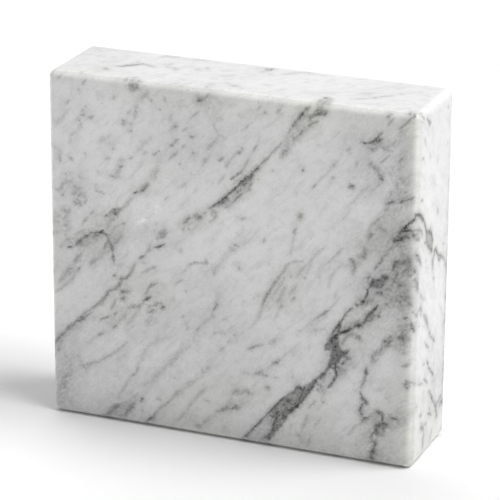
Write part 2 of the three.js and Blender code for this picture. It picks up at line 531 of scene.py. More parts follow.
    (1.12, 0.29, (91.3, 109.3), (92.3, 108)),
    (1.25, 0.34, (93, 105.5), (91.7, 103.7), (90, 101.8)),
    (0.62, 0.46, (95.4, 103), (95.3, 102)),
    # below mid height, on the left: the long vein of the left side
    (1.2, 0.17, (-65, 90.4), (-67, 88.6), (-69, 86.6), (-71, 85), (-74, 83)),
    (0.6, 0.28, (-79, 87.4), (-81, 84.6), (-83.6, 82)),
    (1.5, 0.2, (-77.5, 90), (-80, 86), (-82, 82.6), (-84.4, 79.8), (-87, 76.5)),
    (1.0, 0.3, (-49.4, 86), (-51, 83), (-52.4, 80.4), (-54.4, 78)),
    (1.2, 0.3, (-87, 76.5), (-88.6, 74), (-91, 70)),
    (1.2, 0.44, (-57.2, 78), (-57.6, 75), (-59, 72.8), (-61, 71)),
    (1.0, 0.22, (-94.5, 64), (-91, 66.6), (-88, 69.2), (-85, 72.4), (-82.6, 75.4)),
    (0.9, 0.35, (-61, 71), (-64, 69.4), (-66, 66.6)),
    (1.1, 0.36, (-54, 62), (-51.4, 63), (-48.4, 63.6), (-45.4, 65.6)),
    (0.8, 0.4, (-64.6, 68), (-66.4, 65.6), (-69.4, 62.4), (-72.4, 59.6), (-75, 57.4)),
    (0.8, 0.3, (-63, 60), (-61.4, 63), (-60, 66)),
    (1.2, 0.2, (-55, 53), (-52, 56), (-50, 59), (-47.4, 61)),
    (0.9, 0.18, (-60, 52.6), (-58, 54.6), (-56, 57), (-55, 59.5)),
    (1.1, 0.34, (-76, 57.4), (-78, 55), (-80.6, 52.4)),
    (0.6, 0.3, (-73.6, 57), (-76.4, 54.6), (-79, 52)),
    (1.0, 0.38, (-82, 50.8), (-85, 48), (-88, 45.5)),
    (0.6, 0.4, (-90, 89.3)),
    (0.7, 0.65, (-86.5, 89.5), (-84, 90.3)),
    (0.9, 0.35, (-80.6, 77.6), (-79.4, 80)),
    (0.9, 0.2, (-84.4, 77), (-85.6, 75)),
    (0.9, 0.3, (-79.4, 53.4)),
    (0.9, 0.45, (-82.4, 50.8), (-80, 51.6), (-77.4, 52.8)),
    (1.0, 0.3, (-85, 47.6), (-86.4, 45.8)),
    (0.7, 0.25, (-71.6, 84.8), (-73.4, 82.4)),
    (1.4, 0.25, (-68, 61.4), (-67.4, 63.4)),
    (0.8, 0.35, (-69, 53.5), (-66, 55.2), (-64, 56)),
    (0.8, 0.3, (-70.4, 45.4), (-68.4, 46.2)),
    (0.8, 0.55, (-61.6, 89.4), (-61.2, 86)),
    (0.8, 0.3, (-61.2, 78.2), (-60.4, 78.2)),
    (0.8, 0.45, (-53, 79.4), (-55, 77.8), (-57, 77)),
    (0.6, 0.4, (-61.3, 78)),
    (1.3, 0.6, (-57, 70.2), (-55.4, 70.6)),
    (0.9, 0.4, (-65, 68)),
    (1.4, 0.42, (-57.4, 65.8), (-55.4, 67.2)),
    (0.8, 0.38, (-61, 57.6), (-60.2, 58.6)),
    (1.0, 0.4, (-61.6, 50.4), (-60.4, 51.6)),
    (0.8, 0.2, (-54.4, 70.4), (-52.6, 71.4)),
    # below mid height, left of the middle
    (0.9, 0.14, (-20.6, 89.8), (-22, 87.6), (-24.8, 85)),
    (0.8, 0.3, (-44.2, 71), (-43, 73.2), (-41.6, 75.2), (-39.4, 76.4), (-37.6, 77.6)),
    (0.6, 0.12, (-15.6, 57.4), (-13.6, 59.8), (-11.4, 62), (-9.6, 63.6)),
    (0.7, 0.25, (-46, 87), (-44.4, 87.4)),
    (0.8, 0.2, (-46, 81.6), (-43, 83.4), (-41, 84.6)),
    (0.9, 0.6, (-45, 67.2), (-43.6, 68.4), (-41.4, 69.8)),
    (1.8, 0.18, (-42.4, 58.6), (-42.6, 55.4)),
    (0.9, 0.36, (-41, 84.8), (-38.4, 86.4)),
    (0.8, 0.2, (-41.5, 76), (-39, 77.8)),
    (1.4, 0.3, (-37.6, 67.4), (-36, 67.4)),
    (1.2, 0.3, (-40, 65.4), (-37.8, 66.4)),
    (1.0, 0.7, (-35.2, 65), (-34.6, 65.4)),
    (0.7, 0.3, (-42.6, 64.4), (-41, 65)),
    (0.8, 0.3, (-43.4, 61), (-41, 62), (-39.8, 63.8)),
    (0.7, 0.2, (-23.8, 81.4), (-26, 80), (-28.6, 78.2)),
    (0.9, 0.3, (-22.4, 75.4)),
    (0.9, 0.35, (-24, 62)),
    (0.7, 0.22, (-22, 55.4), (-21, 57.2)),
    (0.9, 0.18, (-22.2, 45.4), (-20.8, 46.6)),
    (1.1, 0.3, (-7.6, 87)),
    (0.8, 0.62, (-6.2, 71.2)),
    (0.8, 0.5, (-6.8, 70), (-7.8, 67.8)),
    (1.1, 0.28, (-8.4, 64.8)),
    (0.9, 0.35, (-16.6, 56.2), (-15.6, 57.4)),
    (0.8, 0.28, (-7.2, 55.8)),
    (0.7, 0.24, (-2.6, 63.4), (-1, 64.6)),
    (1.1, 0.15, (-5, 56.6), (-1, 56.2)),
    (0.8, 0.22, (-4.6, 46.8), (-2.6, 48.8)),
    # below mid height, right of the middle
    (1.0, 0.36, (22.2, 83.2), (24, 86.4), (26.2, 89.8)),
    (1.0, 0.18, (22.6, 79), (25, 82.4), (27, 86), (29, 90)),
    (1.1, 0.26, (31.6, 81.6), (33.6, 84.2), (35, 87)),
    (1.0, 0.2, (25.4, 77), (27.6, 81), (30, 86)),
    (1.0, 0.48, (17.8, 74.8), (19, 77.4), (20.6, 80.4), (22.2, 83.2)),
    (1.0, 0.2, (16.4, 68), (17, 71), (17.8, 74)),
    (1.0, 0.14, (24, 67), (25.4, 71), (27, 74)),
    (0.9, 0.14, (45, 71), (41, 67), (37, 63.4)),
    (1.1, 0.13, (17, 71), (14.6, 66), (11.4, 61)),
    (0.8, 0.12, (27, 47), (30, 50), (34, 54), (38, 58)),
    (0.8, 0.28, (3.2, 56.4)),
    (0.7, 0.2, (-0.6, 51.4), (0.8, 53.6)),
    (0.9, 0.2, (15.6, 52.7), (19, 54)),
    (0.8, 0.38, (10.6, 50.4), (13, 51.5), (15.6, 52.7)),
    (1.7, 0.2, (25, 78)),
    (0.9, 0.32, (27.8, 75.2)),
    (0.9, 0.2, (23.4, 56), (25.6, 58.4)),
    (1.1, 0.22, (21.8, 55.2), (23.4, 55.8)),
    (0.8, 0.42, (25.6, 45.6), (26.8, 46.6)),
    (1.0, 0.6, (24, 44.8), (25.4, 45.4)),
    (1.0, 0.28, (33, 79.2), (34.2, 80.4)),
    (0.9, 0.24, (45, 71), (47, 73), (49.4, 74.6)),
    # below mid height, on the right: the dark ragged patch and the strands that leave it
    (0.7, 0.15, (51.6, 76.4), (55, 80.6), (58, 84.4)),
    (0.69, 0.57, (71.4, 76), (72.5, 77.3), (73.5, 78.7), (75, 80.5), (76, 81.5), (77, 82.8)),
    (0.62, 0.4, (64.5, 69.6), (66.3, 70.6), (68, 71.2), (69.8, 72.7), (71, 74.3), (71.4, 76)),
    (0.56, 0.57, (54, 64.5), (55.5, 67.5), (57, 70), (58.5, 72), (60.5, 75.3), (61.8, 77.2)),
    (0.65, 0.85, (57.8, 65.8), (60.4, 67), (62.4, 68.2), (64.2, 69.3)),
    (0.56, 0.95, (57.8, 65.7), (59.5, 66.6), (61, 67.3), (62.5, 68.4), (64.1, 69.2)),
    (0.8, 0.22, (51.5, 61.5), (53.5, 65), (55.6, 68.4)),
    (1.0, 0.24, (78, 57), (79.2, 60.6), (79.8, 64.4)),
    (1.2, 0.22, (79.6, 61), (77, 59), (75, 56.6), (74.4, 54)),
    (0.8, 0.3, (49.4, 74.6), (51.6, 76.4)),
    (0.6, 0.34, (52, 76.6), (50, 74.8), (48.4, 73.4)),
    (0.7, 0.85, (53.8, 60.9)),
    (0.8, 0.6, (53.8, 60.8)),
    (0.9, 0.3, (50.2, 57.8), (51.4, 59.6)),
    (0.7, 0.4, (53.6, 47.6)),
    (0.9, 0.15, (55, 83.6), (55.8, 86.6)),
    (0.69, 0.63, (61.8, 77.2), (63.2, 78.7), (64.3, 79.5)),
    (0.88, 0.57, (57.3, 70)),
    (0.9, 0.45, (57, 66.4), (57.8, 68.6), (57.4, 70.2)),
    (0.62, 0.69, (57.3, 66.6), (57.6, 67.4)),
    (1.1, 0.26, (62.8, 65), (64.4, 66.6)),
    (0.75, 0.34, (60.5, 62), (61, 63.5), (62, 65), (64, 66.3)),
    (0.7, 0.5, (53.6, 62.4), (55.6, 64.2), (57.6, 65.6)),
    (0.62, 0.95, (54, 62.5), (55.5, 63.7), (57, 64.7)),
    (1.0, 0.3, (57.6, 62.6), (59, 60.8), (60, 62)),
    (0.7, 0.5, (55.4, 58.4)),
    (1.2, 0.3, (58, 56.4), (60, 56), (62, 57.6)),
    (1.0, 0.6, (61, 55.4), (62.2, 57.4)),
    (0.9, 0.3, (60.6, 54.2), (62, 54.4)),
    (1.2, 0.45, (61.4, 53), (63, 53.6)),
    (0.7, 0.6, (59.4, 49.8), (60.6, 51)),
    (0.8, 0.35, (59.4, 49.6), (60.2, 50.6)),
    (0.8, 0.75, (56.2, 49.4), (56.2, 47.6)),
    (0.7, 0.55, (57.4, 48.4)),
    (0.7, 0.45, (57.8, 47.6)),
    (0.8, 0.45, (56, 48.4), (56, 46)),
    (0.6, 0.6, (54.2, 47.2), (55.6, 47)),
    (0.7, 0.3, (60.8, 46.8)),
    (0.9, 0.3, (60.8, 46.7)),
    (1.2, 0.32, (56.8, 44.2), (58, 45.6), (59.6, 46.6)),
    (0.7, 0.7, (56.2, 47), (56.4, 45), (57, 44)),
    (0.88, 0.52, (76.8, 89.3), (78.7, 89.5)),
    (0.69, 0.69, (70.4, 85.6), (71.2, 87.5), (71.8, 89), (71.6, 90.5)),
    (1.2, 0.25, (71, 83), (74, 85.4)),
    (0.8, 0.7, (69.2, 83.6), (70, 84.2)),
    (0.69, 0.92, (69, 83.4), (69.7, 83.8)),
    (0.75, 0.69, (76.8, 83.1)),
    (1, 0.34, (66.8, 81), (68, 82), (70, 84.5)),
    (0.7, 0.6, (66.3, 81.6)),
    (0.62, 0.69, (66.2, 81.5)),
    (0.75, 0.92, (75, 80.4), (76.2, 81.4)),
    (0.75, 0.69, (73.4, 78.5), (74, 79.2)),
    (0.8, 0.4, (77.6, 77.4)),
    (1.0, 0.25, (73.6, 77), (75.6, 77.4), (77.6, 77.8)),
    (1, 0.4, (72, 77), (74, 77.2), (75, 77.8)),
    (0.88, 0.52, (77.7, 77.3)),
    (1, 0.57, (71.5, 76)),
    (0.9, 0.25, (72, 74.6), (74.6, 76)),
    (1.12, 0.29, (72.5, 74.5), (74, 75)),
    (0.88, 0.57, (71.2, 74.2)),
    (1.5, 0.25, (66, 72.4), (70, 73.4)),
    (1.0, 0.4, (66, 70.8), (67.4, 71.4), (68.8, 71.4)),
    (0.8, 0.5, (67.6, 71.6), (68.2, 70.8)),
    (1.38, 0.46, (66.8, 70.8), (68.2, 71.4)),
    (1.62, 0.4, (66.7, 65.6), (67.3, 65.2)),
    (1.4, 0.4, (66.4, 65.2), (68, 65)),
    (1.25, 0.23, (68.5, 64)),
    (0.9, 0.22, (75.4, 58.8), (76.4, 58.6)),
    (0.9, 0.35, (74.8, 56.4), (75.4, 55.4)),
    (0.8, 0.22, (73.6, 53.4), (76.6, 54.6)),
    (1.0, 0.5, (71.8, 49.2), (71.6, 47.4)),
    (0.8, 0.55, (72, 49.4), (71.8, 48), (72.1, 46.6)),
    (1.12, 0.23, (83.5, 87.3)),
    (1, 0.29, (80.5, 83), (82, 84.7)),
    (0.9, 0.3, (78, 79.6), (78.6, 81)),
    (1.12, 0.23, (87, 77)),
    (1.3, 0.3, (87.6, 68.6), (90, 67.8), (91.4, 68.4)),
    (0.7, 0.35, (83.8, 68)),
    (0.75, 0.34, (83.8, 67.8)),
    (1.5, 0.35, (81, 65.4), (82.4, 64), (83.6, 66.6)),
    (0.88, 0.52, (81.1, 65.2)),
    (0.8, 0.45, (80.8, 65.2)),
    (0.8, 0.35, (88, 89.2), (91, 89.6), (93.3, 89.5)),
    (0.88, 0.34, (91, 88.4)),
    (0.8, 0.3, (92, 87), (93.5, 85.5), (95, 84.3)),
    (0.62, 0.52, (94.9, 82)),
    (0.7, 0.35, (91, 78.8), (92, 78.8)),
    (0.75, 0.4, (90.5, 78.5), (91.5, 78.9)),
    (0.62, 0.46, (94, 77), (94.3, 75)),
    (1.2, 0.4, (94, 73.4), (96, 74)),
    (0.62, 0.52, (95, 73.5)),
    (2.5, 0.25, (90, 68.5)),
    (0.9, 0.2, (89.6, 60.6), (92, 60.6)),
    (0.8, 0.26, (89.6, 53.8), (92, 54.6), (94.4, 55.6)),
    (0.7, 0.22, (89.6, 53.8), (92.2, 54.2)),
    (0.7, 0.36, (95.3, 45.6)),
    (0.8, 0.36, (91.6, 44.4), (92.4, 45.8), (94, 45.4)),
    # the bottom left corner
    (1.2, 0.18, (-75, 40), (-73, 42.6), (-70.6, 45.2), (-68, 46.6), (-64, 48.4)),
    (0.9, 0.45, (-87.4, 45.4), (-90, 42.4), (-92.4, 40), (-95.4, 37)),
    (0.9, 0.2, (-74, 29.2), (-71, 30.6), (-68, 32.5), (-65, 34.6), (-62, 36.8), (-58, 40), (-54, 44)),
    (1.1, 0.28, (-80, 27.4), (-77, 28), (-74, 29.2)),
    (2.0, 0.2, (-85.6, 23), (-87.6, 19.6), (-90, 14)),
    (1.0, 0.18, (-51.6, 26), (-54.4, 22.6), (-56.6, 19), (-58.4, 15.6), (-60, 12)),
    (0.9, 0.2, (-60, 8.6), (-57, 10), (-54, 12.2), (-51, 14.8), (-48.4, 17)),
    (1.3, 0.34, (-56, 4.6), (-54, 7), (-51.6, 10), (-50.4, 12)),
    (1.3, 0.34, (-67, 2.2), (-65, 4), (-63, 5.6), (-61, 7.4), (-59.6, 9)),
    (0.7, 0.25, (-91, 37.6), (-89.6, 39)),
    (1.0, 0.35, (-93.4, 33), (-91, 35)),
    (1.2, 0.25, (-90.6, 17), (-89.4, 14)),
    (1.0, 0.3, (-81.4, 32)),
    (1.0, 0.25, (-88.4, 31.2)),
    (1.0, 0.25, (-86, 26.2)),
    (0.7, 0.25, (-90, 19), (-87.4, 21.6)),
    (0.8, 0.28, (-77.4, 26)),
    (0.7, 0.3, (-61, 8.4)),
    (0.9, 0.28, (-48.4, 31.4), (-49.6, 29.4)),
    (0.9, 0.4, (-51, 27)),
    # the foot, left of the middle
    (1.1, 0.11, (-50, 30.6), (-47, 35.6), (-45, 40), (-43.4, 43), (-40, 46), (-36, 48.2), (-31, 50)),
    (1.2, 0.12, (-31, 37.6), (-27, 42), (-24, 45)),
    (1.2, 0.04, (-2, 49.4), (-6, 45), (-9, 41), (-11, 37), (-13.4, 34)),
    (1.1, 0.13, (-45, 22.6), (-40, 26), (-36, 31), (-31, 36), (-27, 40), (-24.6, 44)),
    (1.2, 0.12, (-30, 17.6), (-27, 20.4), (-24.6, 23.2), (-22, 25.6), (-19, 28), (-15.6, 30.4)),
    (1.1, 0.15, (-22, 13), (-20.6, 15.4), (-18.4, 18.4), (-15, 22.6), (-11, 26.6)),
    (1.1, 0.25, (0.4, 17.4), (-3, 15.8), (-6.4, 14.4)),
    (1.2, 0.14, (2.2, 24.4), (1.4, 21.4), (-0.6, 18.6), (-4, 15), (-8, 11.8), (-12, 8), (-15.4, 4)),
    (0.9, 0.28, (-40, 7), (-38, 9.6), (-35.5, 12.2), (-33, 14.4), (-29.4, 18)),
    (1.3, 0.19, (-21.6, 12.8), (-24.4, 9.6), (-27, 6.4)),
    (0.9, 0.45, (-44.6, 2), (-42, 4.6), (-40, 7)),
    (0.8, 0.4, (-47.4, 13.4), (-46, 15)),
    (0.8, 0.32, (-47.4, 12.6), (-45.6, 15)),
    (0.9, 0.3, (-46.4, 8.2)),
    (0.9, 0.25, (-38.2, 16), (-36.4, 15.4)),
    (1.3, 0.28, (-41.6, 3.6), (-39.8, 5.2)),
    (1.0, 0.24, (-29, 19.4), (-26.8, 22)),
    (0.8, 0.26, (-10.8, 37)),
    (0.9, 0.26, (-13.6, 34.4)),
    (0.8, 0.22, (-15.6, 22.8), (-15, 23.4)),
    (0.9, 0.2, (-12.4, 19.6), (-9.8, 18.6)),
    (1.2, 0.22, (-12.4, 8), (-10.6, 8.8)),
    (1.0, 0.24, (-17.6, 5), (-15.4, 5.6)),
    (0.9, 0.18, (-16, 3.8), (-14.6, 4.4)),
    (0.8, 0.36, (-2.7, 15.5)),
    # the foot, right of the middle: the big vein with its dotted edges
    (0.8, 0.4, (40.4, 35.4), (43, 37), (45, 39.2)),
    (0.8, 0.42, (36, 25.6), (37, 26.8), (37.8, 28.4), (38.6, 30.4), (39.4, 31.8)),
    (0.66, 0.6, (20.5, 17), (22.4, 19.4), (24, 21.4), (26, 24), (28.5, 26.6), (30.4, 28.2)),
    (0.9, 0.16, (49, 20), (46.8, 16.8), (45.6, 14)),
    (1.0, 0.18, (42.2, 20.4), (41, 17.6), (40, 14.6), (38.8, 11)),
    (0.8, 0.5, (23.4, 9), (24.2, 12.4), (25.6, 16.4)),
    (0.7, 0.4, (22.4, 4.6), (25.4, 8.8), (27.6, 12), (29.8, 15.4), (31, 18), (33.4, 20.6)),
    (0.62, 0.5, (7.5, 2.3), (9.5, 4), (12.5, 7.3), (14, 9.3), (17.5, 13.4), (20.5, 17)),
    (0.9, 0.4, (19.2, 3.4), (20.4, 5), (22.8, 7.4), (24, 10.4), (25, 14)),
    (1.0, 0.18, (44.4, 10), (43, 6.6), (42, 4)),
    (1.0, 0.24, (4.6, 17), (6.4, 18.6)),
    (1.1, 0.32, (16.6, 38.6), (17.8, 39.6)),
    (1.1, 0.27, (14, 37.6), (15.6, 38.4)),
    (1.1, 0.16, (6.6, 37.4), (12, 37.2)),
    (0.8, 0.4, (17.2, 13.2), (18, 14.2)),
    (0.8, 0.4, (12.6, 7.2), (13.9, 9.1)),
    (0.9, 0.5, (9.3, 3.8), (9.8, 4.4)),
    (0.9, 0.14, (23.4, 44), (21.4, 42), (19.6, 40.4)),
    (0.9, 0.33, (18.7, 37.8)),
    (0.9, 0.36, (20.3, 37.6)),
    (0.9, 0.18, (23.4, 37), (24.8, 37.4)),
    (1.4, 0.25, (20, 31), (22, 32)),
    (1.3, 0.18, (19.4, 30.4), (21.8, 32)),
    (0.7, 0.7, (25.6, 18.6), (26, 19.6)),
    (0.7, 0.6, (29, 19.4), (29.6, 17.4)),
    (0.8, 0.38, (26, 17.6), (26.8, 18.8)),
    (0.8, 0.3, (29, 18), (29.4, 17.2)),
    (0.8, 0.5, (23.4, 16.8), (24, 16.8)),
    (0.8, 0.6, (22.6, 16.8), (23.8, 16.6)),
    (0.8, 0.6, (25.8, 15.8)),
    (0.8, 0.4, (21.4, 3.8), (22.6, 5.8)),
    (0.9, 0.28, (33.6, 39), (34.2, 39.8)),
    (0.8, 0.65, (39.6, 33), (40.2, 35.2)),
    (1.0, 0.6, (38.4, 34)),
    (0.8, 0.45, (35.4, 32.4), (36.4, 34.4), (38, 35.1)),
    (0.8, 0.5, (37.6, 34.4), (38.6, 33.4)),
    (0.7, 0.5, (41.2, 33.4), (42.6, 34.2)),
    (0.9, 0.42, (33.4, 31), (35.2, 31)),
    (1.0, 0.3, (38.4, 30), (39.2, 31.6)),
    (0.8, 0.4, (39.9, 28.6), (41.2, 30.6), (42.4, 32.4)),
    (0.9, 0.25, (30.4, 28.2), (32, 29.8), (33.4, 31)),
    (0.8, 0.65, (39, 27.4), (39.9, 28.6)),
    (1.2, 0.2, (29.6, 26), (33, 27.6)),
    (0.8, 0.6, (37.4, 25.4), (38.8, 27.2)),
    (0.8, 0.4, (31.8, 26)),
    (0.8, 0.45, (31.6, 26.4), (32.4, 25.6)),
    (0.9, 0.9, (35.4, 23.2), (36.4, 24), (37.2, 25)),
    (0.7, 0.6, (34.4, 22.2), (35, 23)),
    (0.9, 0.9, (33.2, 20.8), (34.6, 22.2)),
    (0.7, 0.4, (31.2, 21), (33, 21.3)),
    (0.7, 0.6, (31.4, 21.2), (32.4, 21)),
    (1.0, 0.4, (29.4, 16), (31.2, 18.8)),
    (1.0, 0.28, (37.4, 8.8)),
    (0.5, 0.5, (46.9, 38.6)),
    (0.9, 0.5, (46, 38.6)),
    (0.7, 0.5, (45, 37), (46, 39)),
    (0.5, 0.55, (47.2, 37)),
    (0.8, 0.8, (44, 34.8), (44.5, 35.8)),
    (0.5, 0.65, (46.9, 34.6)),
    (0.9, 0.5, (42.5, 32.8), (43.4, 34)),
    (0.8, 0.33, (45.8, 28.2), (45, 26.8)),
    (0.8, 0.24, (43.6, 26), (42.6, 24.4)),
    # the bottom right corner: the wandering vein
    (0.9, 0.5, (53.4, 49), (51.6, 45.8), (50, 43.8), (48.4, 42), (46.8, 40.4), (45.4, 39.2)),
    (0.9, 0.36, (71.6, 46.2), (70.8, 43.6), (70.2, 41.2), (69.4, 38.2)),
    (0.8, 0.65, (69, 37), (69.5, 35.8), (69.9, 34.8), (69.8, 33.8), (71.2, 33.5), (72, 32.6), (72.6, 31.6)),
    (1.2, 0.16, (52.6, 36.6), (51, 34.6), (49.6, 32), (48.8, 30)),
    (0.8, 0.5, (70.2, 30.8), (69.4, 29.2), (69, 27.6), (69.6, 26), (70.6, 24.8)),
    (1.4, 0.2, (73.2, 24.2), (74.8, 25.8), (76.4, 27.6), (78, 29.4)),
    (0.9, 0.62, (78.4, 28.4), (80, 27.6), (80.9, 26), (80.8, 24.2), (80.4, 22.6)),
    (1.1, 0.15, (89, 24), (88, 21.6), (86, 20.4), (84, 20.4)),
    (1.0, 0.2, (69.4, 21), (66, 17.4), (63, 13)),
    (1.1, 0.55, (77.4, 11.4), (76.8, 9.4), (76.2, 7.2), (75.6, 5), (75.4, 2.4)),
    (1.2, 0.4, (48, 40.4), (49.6, 42), (50.8, 43.4)),
    (0.9, 0.55, (54.6, 39.4), (53.6, 38), (52.6, 36.6)),
    (0.9, 0.38, (48.9, 37.2), (48.9, 35.4)),
    (0.9, 0.28, (50.1, 28.6)),
    (0.9, 0.45, (57, 44), (56, 42.4), (55.2, 41)),
    (0.8, 0.55, (55.8, 42), (54.8, 40)),
    (0.8, 0.4, (54.2, 39.4)),
    (1.0, 0.35, (69.8, 33), (71.6, 32.2), (73, 31)),
    (0.7, 0.4, (71.2, 31.8), (70, 30.8)),
    (1.2, 0.5, (70.8, 24.2), (72, 23.8), (73.4, 24)),
    (1.0, 0.4, (71, 23.2), (70, 21.2)),
    (1.1, 0.7, (77.5, 18.6), (77.6, 16.8)),
    (0.8, 0.5, (76.8, 17.6), (75.6, 15.6), (74.8, 13.8)),
    (0.9, 0.42, (75.4, 12.4), (77, 12), (77.9, 11)),
    (1.0, 0.25, (77.6, 6.4)),
    (1.1, 0.5, (75.9, 6.4)),
    (1.4, 0.5, (75.6, 3.6), (75.2, 2.4)),
    (1.0, 0.16, (77, 38.4), (79, 39.6), (81.4, 40.8)),
    (1.1, 0.25, (82.6, 36)),
    (1.1, 0.5, (77.6, 28.2), (79.2, 26.8)),
    (1.0, 0.45, (84.6, 26), (85.8, 26.2)),
    (1.2, 0.25, (85, 26), (88, 25.8)),
    (1.0, 0.45, (87, 26), (88.2, 25.6)),
    (0.9, 0.65, (81.6, 22.6), (82.6, 22.4)),
    (1.4, 0.3, (81.4, 22.4), (83.4, 21.6)),
    (1.2, 0.34, (76.4, 20), (78.4, 20.6), (80.4, 21.6)),
    (1.2, 0.45, (80.6, 22), (78.8, 21.4), (77.5, 20.4), (77.2, 19)),
    (1.2, 0.3, (80, 16.6), (78.4, 17)),
    (1.0, 0.3, (91, 44.6), (94, 44.4)),
    (0.9, 0.5, (91.4, 43), (92.8, 42.6), (94, 43.6)),
    (1.0, 0.15, (91, 25), (90.4, 22)),
)

